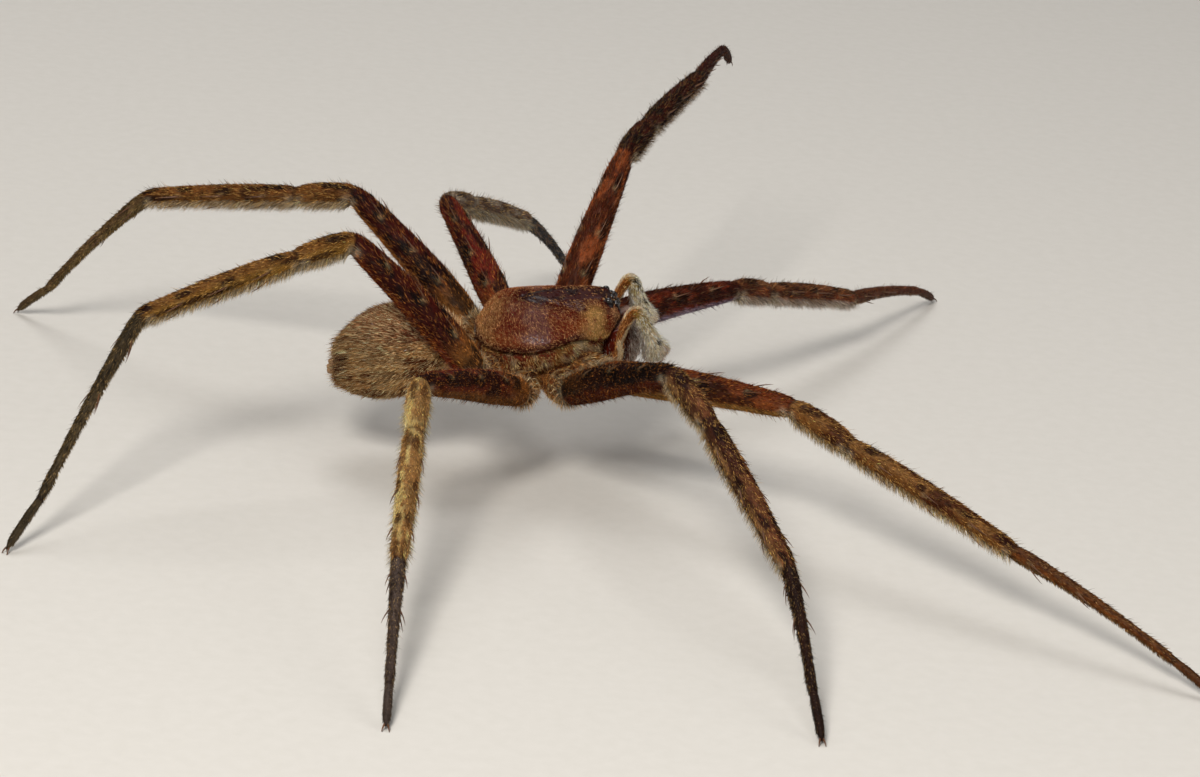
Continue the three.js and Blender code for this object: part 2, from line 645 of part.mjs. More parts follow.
function feeler(sideName) {
  const side = sideName === "left" ? 1 : -1;
  const knee = vec(feelerKnee.x + feelerLead[sideName], side * feelerKnee.y, feelerKnee.z);
  const reach = feelerReach[sideName];
  const past = (ahead, across, up) => knee.clone().add(vec(ahead * reach, side * across, up));
  const root = vec(feelerRoot.x, side * feelerRoot.y, feelerRoot.z);
  const rootWay = vec(feelerRootWay.x, side * feelerRootWay.y, feelerRootWay.z).normalize();
  const stops = [
    { at: root.clone().addScaledVector(rootWay, jointGap / 2), half: 0.44, cut: rootWay },
    { at: vec(5.98, side * 3.1, -0.5), half: 0.4 },
    { at: vec(6.02, side * 3.2, 0.35), half: 0.38 },
    { at: vec(6.2, side * 3.22, 1.07), half: 0.4 },
    { at: knee.clone().add(vec(-0.7, 0, -0.77)), half: 0.44 },
    { at: knee.clone().add(vec(-0.33, 0, -0.18)), half: 0.5 },
    { at: knee, half: 0.54 },
    { at: past(0.37, 0, -0.32), half: 0.58 },
    { at: past(0.6, -0.02, -1.07), half: 0.62 },
    { at: past(0.9, -0.05, -1.86), half: 0.68 },
    { at: past(1.21, -0.05, -2.67), half: 0.88 },
    { at: past(1.48, -0.05, -3.24), half: 1.0 },
    { at: past(1.7, -0.05, -3.7), half: 0.6 },
  ];
  return bentTube(stops, 12, 0.95);
}
for (const sideName of ["left", "right"]) {
  addNode(`palp_${sideName}`, ontoTrunk(feeler(sideName)), looks.feeler);
}

// The origin stands on the floor, under the middle of the space that the spider takes.
const middleAhead = 3.21;
const middleLeft = -1.24;
spider.position.set(-middleAhead, -middleLeft, 0);

export default spider;
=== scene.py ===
import math

import bpy
import numpy as np
from mathutils import Matrix, Vector


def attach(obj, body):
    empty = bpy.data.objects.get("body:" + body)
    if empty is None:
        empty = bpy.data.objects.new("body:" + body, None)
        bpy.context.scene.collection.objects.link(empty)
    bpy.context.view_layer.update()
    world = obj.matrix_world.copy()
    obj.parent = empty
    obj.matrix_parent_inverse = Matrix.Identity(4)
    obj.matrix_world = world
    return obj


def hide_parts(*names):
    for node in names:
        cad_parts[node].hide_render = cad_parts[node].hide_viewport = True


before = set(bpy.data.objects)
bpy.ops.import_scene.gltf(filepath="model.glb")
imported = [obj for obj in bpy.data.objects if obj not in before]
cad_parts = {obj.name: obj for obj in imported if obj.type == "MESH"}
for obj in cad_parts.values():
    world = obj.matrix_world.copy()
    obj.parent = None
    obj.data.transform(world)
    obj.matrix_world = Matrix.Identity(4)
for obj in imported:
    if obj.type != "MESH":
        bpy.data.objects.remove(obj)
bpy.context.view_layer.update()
bpy.ops.object.select_all(action="DESELECT")


# Camera
# A long lens a third of a metre away looks down past the right side of the spider, tilted a little.
# Places here and in all that follows are in millimetres until they reach a mesh or an object.
MM = 0.001
camera_place = (-35.43, -318.61, 121.92)
camera_heading = 83.33
camera_drop = 19.67
camera_tilt = 5.42
lens_length = 136.3
sensor_width = 36.0

camera_data = bpy.data.cameras.new("camera")
camera_data.lens = lens_length
camera_data.sensor_width = sensor_width
camera_data.clip_start = 0.01
camera = bpy.data.objects.new("camera", camera_data)
bpy.context.scene.collection.objects.link(camera)
camera.matrix_world = (
    Matrix.Translation(Vector(camera_place) * MM)
    @ Matrix.Rotation(math.radians(camera_heading - 90), 4, "Z")
    @ Matrix.Rotation(math.radians(90 - camera_drop), 4, "X")
    @ Matrix.Rotation(math.radians(camera_tilt), 4, "Z")
)
bpy.context.scene.camera = camera


# Light
# A soft lamp above the camera draws each hair, a wider and weaker one fills in from the right, and a third
# hangs high behind the spider. The studio's own light is low, so that the dark shell stays dark.
def soft_lamp(name, place, power, size, colour):
    data = bpy.data.lights.new(name, "AREA")
    data.energy = power
    data.size = size * MM
    data.color = colour
    lamp = bpy.data.objects.new(name, data)
    bpy.context.scene.collection.objects.link(lamp)
    lamp.location = Vector(place) * MM
    aim = Vector((0, 0, 8)) * MM - lamp.location
    lamp.rotation_euler = aim.to_track_quat("-Z", "Y").to_euler()


soft_lamp("key_lamp", (-130, -330, 300), 1.75, 110, (1.0, 0.97, 0.92))
soft_lamp("fill_lamp", (330, -200, 190), 0.35, 260, (1.0, 0.99, 0.97))
soft_lamp("top_lamp", (-60, 190, 430), 0.7, 240, (1.0, 1.0, 1.0))

world = bpy.data.worlds.new("studio_air")
bpy.context.scene.world = world
world.use_nodes = True
world.node_tree.nodes["Background"].inputs["Color"].default_value = (0.97, 0.96, 0.95, 1)
world.node_tree.nodes["Background"].inputs["Strength"].default_value = 0.17
bpy.context.scene.view_settings.view_transform = "Standard"


# Floor
# A plain pale sheet of matt board, large enough to fill the view.
def linear(code):
    channels = [int(code[k:k + 2], 16) / 255 for k in (1, 3, 5)]
    return np.array([c / 12.92 if c <= 0.04045 else ((c + 0.055) / 1.055) ** 2.4 for c in channels])


def add_node(tree, kind, inputs=None, **settings):
    made = tree.nodes.new(kind)
    for key, value in settings.items():
        setattr(made, key, value)
    for key, value in (inputs or {}).items():
        socket = made.inputs[key]
        if isinstance(value, bpy.types.NodeSocket):
            tree.links.new(value, socket)
        else:
            socket.default_value = value
    return made


def new_material(name, roughness, specular, ior=1.5):
    material = bpy.data.materials.new(name)
    material.use_nodes = True
    tree = material.node_tree
    shader = tree.nodes["Principled BSDF"]
    shader.inputs["Roughness"].default_value = roughness
    shader.inputs["Specular IOR Level"].default_value = specular
    shader.inputs["IOR"].default_value = ior
    return material, tree, shader


def grain_of(tree, scale, detail):
    place = add_node(tree, "ShaderNodeTexCoord").outputs["Object"]
    grain = add_node(tree, "ShaderNodeTexNoise", {"Vector": place, "Scale": scale, "Detail": detail})
    return grain.outputs["Fac"]


def two_toned(name, dark, light, scale, detail, roughness, specular, ior=1.5):
    """A material whose colour wanders between two tones in a fine grain."""
    material, tree, shader = new_material(name, roughness, specular, ior)
    tone = add_node(tree, "ShaderNodeValToRGB", {"Fac": grain_of(tree, scale, detail)})
    tone.color_ramp.elements[0].color = (*linear(dark), 1)
    tone.color_ramp.elements[1].color = (*linear(light), 1)
    tree.links.new(tone.outputs["Color"], shader.inputs["Base Color"])
    return material


# Matt board gives the eye an even pale ground with hardly any shine.
floor_side = 3.0
board = two_toned("matt_board", "#D6D2CB", "#DEDAD4", scale=900.0, detail=3.0, roughness=0.85, specular=0.2)
bpy.ops.mesh.primitive_plane_add(size=floor_side, location=(0, 0, 0))
floor = bpy.context.object
floor.name = "floor"
floor.data.materials.append(board)
bpy.ops.object.select_all(action="DESELECT")


# Carapace
# The shield over head and thorax is one hard shell of tanned chitin, grown in one piece. It is red-brown,
# speckled by short lying hair, with a bare dark band over the head and a dark rolled rim.
trunk_height = 11.2
trunk_pitch = 5
trunk_roll = 3
# The middle of the whole spider, from which places are counted, lies ahead and right of the carapace's own.
middle_ahead = 3.21
middle_left = -1.24
shell_coat_depth = 0.1
carapace_rear, carapace_front = -4.65, 6.25
carapace_half_width = [
    (-4.65, 1.6), (-4.15, 2.7), (-3.2, 3.8), (-1.6, 4.65), (0.2, 4.9), (2.0, 4.6), (3.4, 3.9),
    (4.7, 3.05), (5.7, 2.2), (6.25, 1.45),
]
carapace_crest = [
    (-4.65, 0.5), (-4.15, 1.1), (-3.6, 1.95), (-3.0, 2.6), (-2.0, 2.95), (0.2, 3.0), (2.6, 2.98),
    (4.6, 3.02), (5.4, 2.9), (5.95, 2.5), (6.25, 1.95),
]
carapace_rim = [
    (-4.65, 0.3), (-4.1, 0.0), (-3.2, -0.06), (-2.0, 0.04), (-0.6, 0.16), (0.6, 0.4), (1.6, 0.66),
    (2.6, 0.84), (3.4, 0.76), (4.2, 0.46), (4.9, 0.26), (5.3, 0.42), (5.8, 1.1), (6.25, 1.6),
]
underside_height = [
    (-4.65, -0.25), (-2.0, -0.35), (1.0, -0.25), (3.0, 0.0), (4.4, 0.35), (5.5, 0.88), (6.25, 1.25),
]
squareness = [(-4.65, 2.2), (2.4, 2.2), (4.6, 3.0), (6.25, 3.0)]
dome_roundness = 0.62
fovea_place = -1.6
# How far ahead and how far out each pair of eyes sits, and half the width of one.
eyes = {
    "front_middle": (6.14, 0.32, 0.2), "front_side": (5.98, 0.92, 0.27),
    "rear_middle": (5.66, 0.42, 0.2), "rear_side": (5.34, 1.25, 0.29),
}
socket_rise, socket_reach = 0.07, 1.35
shield_rings, top_points, under_points = 120, 97, 24

random = np.random.default_rng(41)
trunk_turn = np.array(
    Matrix.Rotation(math.radians(trunk_roll), 3, "X") @ Matrix.Rotation(math.radians(-trunk_pitch), 3, "Y")
)
origin_shift = np.array([middle_ahead, middle_left, 0])


def onto_trunk(places):
    return np.asarray(places, float) @ trunk_turn.T + [0, 0, trunk_height] - origin_shift


def off_trunk(places):
    return (places + origin_shift - [0, 0, trunk_height]) @ trunk_turn


def along(stops, place):
    """A smooth value at a place along stops, each a place and its value."""
    at, value = np.array(stops, float).T
    place = np.asarray(place, float)
    slope = np.empty_like(value)
    slope[1:-1] = (value[2:] - value[:-2]) / (at[2:] - at[:-2])
    slope[0] = (value[1] - value[0]) / (at[1] - at[0])
    slope[-1] = (value[-1] - value[-2]) / (at[-1] - at[-2])
    k = np.clip(np.searchsorted(at, place) - 1, 0, len(at) - 2)
    span = at[k + 1] - at[k]
    t = np.clip((place - at[k]) / span, 0, 1)
    return ((2 * t**3 - 3 * t**2 + 1) * value[k] + (t**3 - 2 * t**2 + t) * slope[k] * span
            + (3 * t**2 - 2 * t**3) * value[k + 1] + (t**3 - t**2) * slope[k + 1] * span)


def smooth(value, low, high):
    t = np.clip((value - low) / (high - low), 0, 1)
    return t * t * (3 - 2 * t)


def blend(first, second, share):
    return first + (second - first) * np.asarray(share)[..., None]


def painted(ground, *layers):
    """Colours laid over the ground one after another, each by its share."""
    for code, share in layers:
        ground = blend(ground, linear(code), share)
    return ground


def unit(vectors):
    vectors = np.asarray(vectors, float)
    return vectors / np.maximum(np.linalg.norm(vectors, axis=-1, keepdims=True), 1e-9)


# Random values on a lattice, smoothed between its points: cloudy patches about as wide as size.
cloud_lattice = random.random((32, 32, 32))


def clouds(places, size, offset=0.0):
    scaled = np.asarray(places) / size + offset
    cell = np.floor(scaled).astype(int)
    t = scaled - cell
    t = t * t * (3 - 2 * t)
    total = 0
    for corner in np.ndindex(2, 2, 2):
        weight = np.prod(np.where(corner, t, 1 - t), axis=-1)
        i, j, k = np.moveaxis((cell + corner) % 32, -1, 0)
        total = total + weight * cloud_lattice[i, j, k]
    return total


def loft(rings):
    """Rings of points as a grid with outward normals."""
    rings = np.asarray(rings, float)
    ahead = np.gradient(rings, axis=0)
    around = np.roll(rings, -1, axis=1) - np.roll(rings, 1, axis=1)
    normals = unit(np.cross(ahead, around))
    outward = np.sum(normals * (rings - rings.mean(axis=1, keepdims=True))) > 0
    return {"points": rings, "normals": normals if outward else -normals, "outward": outward}


def lifted(grid):
    """A grid drawn in the trunk's own frame, put in its place on the trunk."""
    grid["local"] = grid["points"].copy()
    grid["points"] = onto_trunk(grid["points"])
    grid["normals"] = grid["normals"] @ trunk_turn.T
    return grid


def mark(mesh, colours):
    """Stores a colour for each point of the mesh."""
    rgba = np.ones((len(mesh.vertices), 4))
    rgba[:, :3] = colours
    mesh.color_attributes.new("markings", "FLOAT_COLOR", "POINT").data.foreach_set("color", rgba.ravel())


def body_piece(name, mesh, material):
    """The finished mesh as a piece that rides on the body."""
    mesh.materials.append(material)
    piece = bpy.data.objects.new(name, mesh)
    bpy.context.scene.collection.objects.link(piece)
    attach(piece, "root")
    return piece


def skin_piece(name, grids, colours, material):
    """One mesh of closed tubes through the rings of each grid, coloured point by point."""
    points, faces, count = [], [], 0
    for grid in grids:
        rows, sides = grid["points"].shape[:2]
        index = count + np.arange(rows * sides).reshape(rows, sides)
        turned = np.roll(index, -1, axis=1)
        quads = np.stack([index[:-1], index[1:], turned[1:], turned[:-1]], axis=-1).reshape(-1, 4)
        caps = [list(index[0]), list(index[-1][::-1])]
        if not grid["outward"]:
            quads, caps = quads[:, ::-1], [cap[::-1] for cap in caps]
        faces += quads.tolist() + caps
        points.append(grid["points"].reshape(-1, 3))
        count += rows * sides
    mesh = bpy.data.meshes.new(name)
    mesh.from_pydata((np.concatenate(points) * MM).tolist(), [], faces)
    mark(mesh, np.concatenate([c.reshape(-1, 3) for c in colours]))
    mesh.shade_smooth()
    return body_piece(name, mesh, material)


def groove_depth(x, y):
    middle = 0.3 * np.exp(-((y / 0.35) ** 2) - ((x - fovea_place) / 0.9) ** 2)
    spread = np.abs(y) - 0.75 * (x - fovea_place)
    neck = np.where(x > fovea_place, 0.28 * np.exp(-((spread / 0.45) ** 2)), 0)
    return middle + neck * smooth(3.6 - x, 0, 1.2)


def carapace_top(x, y):
    rim = along(carapace_rim, x)
    share = np.minimum(1, np.abs(y) / along(carapace_half_width, x))
    dome = (1 - share ** along(squareness, x)) ** dome_roundness
    return rim + (along(carapace_crest, x) - rim - groove_depth(x, y)) * dome


def near_eye(x, y):
    """How far a place on the head is from the nearest eye, as a share of that eye's half width."""
    return np.min([np.hypot(x - at, np.abs(y) - out) / half for at, out, half in eyes.values()], axis=0)


share = np.linspace(0, 1, shield_rings)
eased = 0.3 * share + 0.7 * (0.5 - 0.5 * np.cos(np.pi * share))
x = (carapace_rear + (carapace_front - carapace_rear) * eased)[:, None]
half = along(carapace_half_width, x)
y_top = half * np.cos(np.linspace(0, np.pi, top_points))
y_under = half * np.linspace(-1, 1, under_points)[1:-1]
rim = along(carapace_rim, x)
z_under = rim + (along(underside_height, x) - rim) * (1 - (y_under / half) ** 4)
y = np.concatenate([y_top, y_under], axis=1)
shield = loft(np.stack([x + 0 * y, y, np.concatenate([carapace_top(x, y_top), z_under], axis=1)], axis=-1))
above = np.zeros(shield["points"].shape[:2])
above[:, :top_points] = 1
socket = above * socket_rise * np.exp(-((near_eye(x + 0 * y, y) / socket_reach) ** 6))
shield["points"] = shield["points"] + (socket - shell_coat_depth)[..., None] * shield["normals"]
shield = lifted(shield)


def shield_bareness(local):
    """1 where the shell is bare: over the head, down the neck grooves and round the eyes."""
    x, y, z = np.moveaxis(local, -1, 0)
    ragged = clouds(local, 0.8) - 0.5
    band = smooth(1.35 + 0.6 * ragged - np.abs(y), 0, 0.35) * smooth(x, -1.9, -0.8)
    wedge_edge = 3.3 - 1.1 * np.abs(x - 2.4) + 2.4 * ragged
    wedge = smooth(wedge_edge - np.abs(y), -0.2, 1.1) * smooth(x, 0.5, 1.4) * 0.7
    sockets = 1 - smooth(near_eye(x, y), 1.15, 1.7)
    return np.clip(np.maximum(np.maximum(band, wedge), sockets), 0, 1)


def shield_colours(local, shell):
    x, y, z = np.moveaxis(local, -1, 0)
    wide = np.abs(y)
    ragged = clouds(local, 1.1, 7) - 0.5
    ground = blend(linear("#7A2A16"), linear("#904422"), smooth(clouds(local, 1.9, 13), 0.4, 0.7))
    collar = smooth(2.7 - wide + 1.6 * ragged, 0, 1.2) * smooth(x, -1.8, 0)
    violet = smooth(1.3 - np.abs(x + 0.1 + ragged), 0, 0.8) * smooth(wide, 1.2, 1.9)
    violet = violet * smooth(clouds(local, 1.0, 19), 0.3, 0.6)
    fine = clouds(local, 0.35, 27)
    flank = smooth(wide + ragged, 1.7, 2.9) * smooth(x + 0.8 * ragged, 2.7, 4.4)
    rear = smooth(-x - 0.35 * (wide - 2) + 1.4 * ragged, 2.2, 4.2)
    tan = np.maximum(0.9 * flank, 0.45 * rear) * smooth(fine, 0.1, 0.5)
    ground = painted(ground, ("#561A10", 0.7 * collar), ("#86666A", 0.5 * violet), ("#C29A5C", tan))
    fringe = smooth(x + 0.3 * ragged, 5.45, 5.7) * smooth(wide, 1.3, 1.6)
    ground = blend(ground, blend(linear("#A87A56"), linear("#4E1C10"), smooth(fine, 0.36, 0.56)), fringe)
    mahogany = blend(linear("#4A1008"), linear("#2C0805"), smooth(clouds(local, 0.9, 3), 0.4, 0.6))
    ground = blend(ground, mahogany, 0.93 * shield_bareness(local))
    edge = smooth(along(carapace_rim, x) + 0.42 - z, 0, 0.2) * smooth(3.8 - x, 0, 0.8)
    ground = painted(ground, ("#160806", 1 - smooth(near_eye(x, y), 1.05, 1.5)), ("#4A150C", 0.85 * edge))
    return ground * (0.42 if shell else 1.0)


def marked_chitin(name, scale, darkest, brightest, strength, depth, roughness, specular):
    """Chitin in the colours marked on its mesh, made darker, lighter and uneven by a fine grain."""
    material, tree, shader = new_material(name, roughness, specular)
    marks = add_node(tree, "ShaderNodeAttribute", attribute_name="markings")
    grain = grain_of(tree, scale, 4.0)
    speck = add_node(tree, "ShaderNodeMapRange", {"Value": grain, "To Min": darkest, "To Max": brightest})
    stained = add_node(tree, "ShaderNodeVectorMath", {0: marks.outputs["Color"], 1: speck.outputs["Result"]},
                       operation="MULTIPLY")
    tree.links.new(stained.outputs["Vector"], shader.inputs["Base Color"])
    relief = add_node(tree, "ShaderNodeBump", {"Height": grain, "Strength": strength, "Distance": depth * MM})
    tree.links.new(relief.outputs["Normal"], shader.inputs["Normal"])
    return material


# The shell's own surface is tanned chitin, smooth and a little oily where it is bare, with fine pits.
chitin = marked_chitin("tanned_chitin", scale=5200.0, darkest=0.5, brightest=1.6, strength=0.4, depth=0.07,
                       roughness=0.26, specular=0.2)

carapace = skin_piece("carapace_shell", [shield], [shield_colours(shield["local"], True)], chitin)
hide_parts("carapace")


# Carapace hair
# Short flat hairs lie over the shell towards its middle groove, tan among red-brown ones, and leave the band
# over the head bare. They grow singly from pores in the chitin.
def scatter(grid, count, wanted=None):
    """Random roots over a grid, by area and by how much hair is wanted at each place."""
    here = grid["points"]
    turned = np.roll(here, -1, axis=1)
    corners = [here[:-1], turned[:-1], turned[1:], here[1:]]
    weight = np.linalg.norm(np.cross(corners[2] - corners[0], corners[3] - corners[1]), axis=-1)
    if wanted is not None:
        weight = weight * wanted[:-1]
    picked = random.choice(weight.size, count, p=weight.ravel() / weight.sum())
    ring, side = np.divmod(picked, weight.shape[1])
    u, v = random.random((2, count))

    def at(values):
        turned = np.roll(values, -1, axis=1)
        shares = [(1 - u) * (1 - v), (1 - u) * v, u * v, u * (1 - v)]
        picks = [values[ring, side], turned[ring, side], turned[ring + 1, side], values[ring + 1, side]]
        return sum(s[:, None] * p for s, p in zip(shares, picks))

    rows, sides = here.shape[:2]
    return {"at": at, "place": at(here), "normal": unit(at(grid["normals"])),
            "unwrap": np.stack([(ring + u) / (rows - 1), (side + v) / sides], axis=1)}


def mixed_tints(ground, fair_share, fair, spread=0.38):
    """Colours hair by hair: most near the ground's own, some fair, each a little brighter or duller."""
    count = len(ground)
    is_fair = random.random(count) < fair_share
    tint = np.where(is_fair[:, None], blend(ground, linear(fair), 0.75), ground * 0.7)
    return tint * np.exp(spread * random.normal(size=count) - 0.05)[:, None]


def drawn(hairs, **limits):
    """Under each name given, a random value between its limits for every hair."""
    for key, (low, high) in limits.items():
        hairs[key] = random.uniform(low, high, len(hairs["place"]))


def hair_piece(name, hairs, material, patch=0.003):
    """Each hair is a closed spike of three sides, rooted just under the skin and leaning along the lie."""
    place, normal = hairs["place"], hairs["normal"]
    lie = unit(hairs["lie"] - normal * np.sum(hairs["lie"] * normal, axis=1, keepdims=True))
    lean = np.radians(hairs["lean"])[:, None]
    way = lie * np.cos(lean) + normal * np.sin(lean)
    wide = unit(np.cross(way, normal))
    high = np.cross(wide, way)
    half = hairs["width"][:, None] / 2
    root = place - normal * 0.03
    corners = [root + half * (math.cos(a) * wide + math.sin(a) * high) for a in np.radians([90, 210, 330])]
    tip = root + way * hairs["length"][:, None]
    points = np.stack([*corners, tip], axis=1)
    points[:, :, 2] = np.maximum(points[:, :, 2], 0.03)
    count = len(place)
    faces = np.array([[0, 1, 3], [1, 2, 3], [2, 0, 3], [0, 2, 1]])
    faces = (faces[None] + 4 * np.arange(count)[:, None, None]).reshape(-1, 3)
    mesh = bpy.data.meshes.new(name)
    mesh.vertices.add(4 * count)
    mesh.vertices.foreach_set("co", (points * MM).ravel())
    mesh.loops.add(faces.size)
    mesh.loops.foreach_set("vertex_index", faces.ravel().astype(np.int32))
    mesh.polygons.add(len(faces))
    mesh.polygons.foreach_set("loop_start", np.arange(0, faces.size, 3, dtype=np.int32))
    mesh.update(calc_edges=True)
    # The three points at the root are darker than the thin tip.
    pigment = 0.95 * np.clip(hairs["colour"], 0, 1) ** 1.14
    mark(mesh, (pigment[:, None] * np.array([0.7, 0.7, 0.7, 1.25])[None, :, None]).reshape(-1, 3))
    spot = np.array([[0, 0], [1, 0], [0.5, 1], [0.5, 0.4]]) * patch
    unwrapped = (hairs["unwrap"] * (1 - patch))[:, None] + spot[None]
    mesh.uv_layers.new(name="OFBake").data.foreach_set("uv", unwrapped.reshape(-1, 2)[faces.ravel()].ravel())
    return body_piece(name, mesh, material)


# Hair is chitin too, clear to tan, drawn out to a point: a dull shine runs along it.
setae, tree, shader = new_material("chitin_setae", roughness=0.5, specular=0.07)
marks = add_node(tree, "ShaderNodeAttribute", attribute_name="markings")
tree.links.new(marks.outputs["Color"], shader.inputs["Base Color"])

hair_count = 42000
wanted = above * (1 - 0.95 * shield_bareness(shield["local"]))
hairs = scatter(shield, hair_count, wanted)
local = hairs["at"](shield["local"])
to_fovea = np.stack([fovea_place - local[:, 0], -local[:, 1], np.zeros(hair_count)], axis=1)
hairs["lie"] = unit(unit(to_fovea) + 0.4 * random.normal(size=(hair_count, 3))) @ trunk_turn.T
drawn(hairs, length=(0.16, 0.3), width=(0.045, 0.075), lean=(8, 34))
hairs["colour"] = mixed_tints(shield_colours(local, False), 0.27, "#C89C6C", 0.36)
hair_piece("carapace_hair", hairs, setae)


# Eyes
# Eight clear lenses of chitin over dark cups, in two rows of four, grown in one with the shell. They are
# sunk into the head so that a low dome of each stands out, and the outer ones are the larger.
eye_sunk = 0.45

# Clear chitin over a dark cup looks black, with small sharp glints of the lamps.
lens = two_toned("eye_lens_chitin", "#070505", "#1A100D", scale=2500.0, detail=2.0, roughness=0.08,
                 specular=0.5, ior=1.65)


def head_normal(x, y):
    step = 0.15
    slope_x = (carapace_top(x + step, y) - carapace_top(x - step, y)) / (2 * step)
    slope_y = (carapace_top(x, y + step) - carapace_top(x, y - step)) / (2 * step)
    return unit([-slope_x, -slope_y, 1])


for row, (x, y, half) in eyes.items():
    for side_name, side in (("left", 1), ("right", -1)):
        surface = np.array([x, side * y, carapace_top(x, side * y)])
        centre = surface - eye_sunk * half * head_normal(x, side * y)
        bpy.ops.mesh.primitive_uv_sphere_add(segments=24, ring_count=14, radius=half * MM,
                                             location=onto_trunk(centre) * MM)
        eye = bpy.context.object
        eye.name = f"eye_{row}_{side_name}_lens"
        bpy.ops.object.transform_apply(location=True, rotation=True, scale=True)
        bpy.ops.object.shade_smooth()
        eye.data.materials.append(lens)
        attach(eye, "root")
        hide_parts(f"eye_{row}_{side_name}")
bpy.ops.object.select_all(action="DESELECT")


# Jaws
# Two stout chelicerae of dark red chitin hang under the front edge of the carapace. Their sides are nearly
# bare, their front is grey with hair, and each ends in a folded fang.
# Down a jaw: how far ahead, how high and how far out its middle lies, and its half width and half depth.
jaw_stops = [
    (5.75, 0.66, 1.12, 0.98, 1.35), (6.0, -0.3, 1.15, 1.06, 1.6), (6.05, -1.3, 1.12, 1.02, 1.6),
    (5.95, -2.1, 1.06, 0.88, 1.3), (5.8, -2.85, 1.0, 0.66, 0.8),
]
jaw_tilts = (0.5, 0.14, 0, 0, 0)
jaw_coat_depth = 0.06
jaw_heights = np.array([stop[1] for stop in jaw_stops])
jaws = []
for side in (1, -1):
    rings = []
    for z in np.linspace(jaw_heights[0], jaw_heights[-1], 44):
        x, y, wide, deep = (np.interp(-z, -jaw_heights, [stop[k] for stop in jaw_stops]) for k in (0, 2, 3, 4))
        around = np.radians(np.arange(48) * 7.5)
        out_x = (deep - jaw_coat_depth) * np.cos(around)
        out_y = (wide - jaw_coat_depth) * np.sin(around)
        tilt = np.interp(-z, -jaw_heights, jaw_tilts)
        rings.append(np.stack([x + out_x, side * y + out_y, z - jaw_coat_depth + tilt * out_x], axis=1))
    jaws.append(lifted(loft(rings)))


def jaw_colours(local):
    x, y, z = np.moveaxis(local, -1, 0)
    ground = blend(linear("#6E2416"), linear("#8E4A2A"), smooth(clouds(local, 0.9, 3), 0.45, 0.75))
    front = smooth(x + 0.2 * (clouds(local, 0.5, 9) - 0.5), 6.6, 7.2)
    seam = 1 - smooth(np.abs(x - 6.35), 0.05, 0.3)
    foot = smooth(-z, 2.2, 2.8)
    return painted(ground, ("#B4A298", 0.8 * front), ("#2A0E0A", 0.7 * seam), ("#2E100B", foot))


jaw_names = ("chelicera_left", "chelicera_right")
for name, grid in zip(jaw_names, jaws):
    jaw = skin_piece(name + "_shell", [grid], [jaw_colours(grid["local"]) * 0.5], chitin)
    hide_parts(name)
    hair_count = 4500
    hairs = scatter(grid, hair_count, 0.35 + smooth(grid["local"][..., 0], 6.2, 6.9))
    local = hairs["at"](grid["local"])
    front = smooth(local[:, 0], 6.3, 6.9)
    hairs["lie"] = np.array([0.15, 0, -1.0]) + 0.22 * random.normal(size=(hair_count, 3))
    drawn(hairs, length=(0.16, 0.34), width=(0.035, 0.06), lean=(10, 32))
    hairs["length"] *= 1 + 0.7 * front
    hairs["colour"] = mixed_tints(jaw_colours(local), 0.2 + 0.3 * front, "#E4D8CC")
    hair_piece(name + "_hair", hairs, setae)


# Feelers
# The two pedipalps are short legs of thin cuticle beside the jaws, folded at a high knee. Dense hair grows
# all over them, brown up to the knee, cream with black dots beyond it, and rusty at the end.
feeler_knee = (7.2, 3.25, 2.6)
feeler_lead = {"left": 0.12, "right": 0.0}
feeler_reach = {"left": 0.72, "right": 1.0}
feeler_coat_depth = 0.1
feeler_root_stops = [
    ((5.75, 2.95, -1.5), 0.44), ((5.98, 3.1, -0.5), 0.4), ((6.02, 3.2, 0.35), 0.38), ((6.2, 3.22, 1.07), 0.4),
]
feeler_rise_stops = [((-0.7, 0, -0.77), 0.44), ((-0.33, 0, -0.18), 0.5), ((0, 0, 0), 0.54)]
feeler_fall_stops = [
    ((0.37, 0, -0.32), 0.58), ((0.6, -0.02, -1.07), 0.62), ((0.9, -0.05, -1.86), 0.68),
    ((1.21, -0.05, -2.67), 0.88), ((1.48, -0.05, -3.24), 1.0), ((1.7, -0.05, -3.7), 0.6),
]


def evened(rows, rounds):
    """Each row drawn towards its two neighbours, round after round."""
    for _ in range(rounds):
        rows[1:-1] = 0.25 * rows[:-2] + 0.5 * rows[1:-1] + 0.25 * rows[2:]
    return rows


def round_end(place, start, stop, least):
    """The share of its width that a tube keeps where it closes in a round end."""
    return np.sqrt(np.clip(1 - smooth(place, start, stop) ** 2, least, 1))


def ring_angles(sides):
    return 2 * np.pi * (np.arange(sides) + 0.5) / sides


def bent_tube(centres, halves, steps, sides):
    """A round tube along smoothed centres, with a round far end."""
    centres, halves = np.asarray(centres, float), np.asarray(halves, float)
    run = np.concatenate([[0], np.cumsum(np.linalg.norm(np.diff(centres, axis=0), axis=1))])
    even = np.linspace(0, run[-1], steps)
    path = evened(np.stack([np.interp(even, run, centres[:, c]) for c in range(3)], axis=1), 4)
    half = along(np.stack([run, halves], axis=1), even)
    half = half * round_end(even, run[-1] - 0.5, run[-1] + 0.02, 0.002)
    way = unit(np.gradient(path, axis=0))
    across = unit(np.cross([0, 0, 1.0], way))
    over = np.cross(way, across)
    angle = ring_angles(sides)
    ring = (np.cos(angle)[None, :, None] * across[:, None] + np.sin(angle)[None, :, None] * over[:, None])
    grid = loft(path[:, None] + ring * half[:, None, None])
    grid["way"] = np.repeat(way[:, None], sides, axis=1)
    grid["share"] = np.repeat(np.linspace(0, 1, steps)[:, None], sides, axis=1)[..., None]
    grid["outer"] = np.repeat(np.sin(angle)[None], steps, axis=0)[..., None]
    return grid


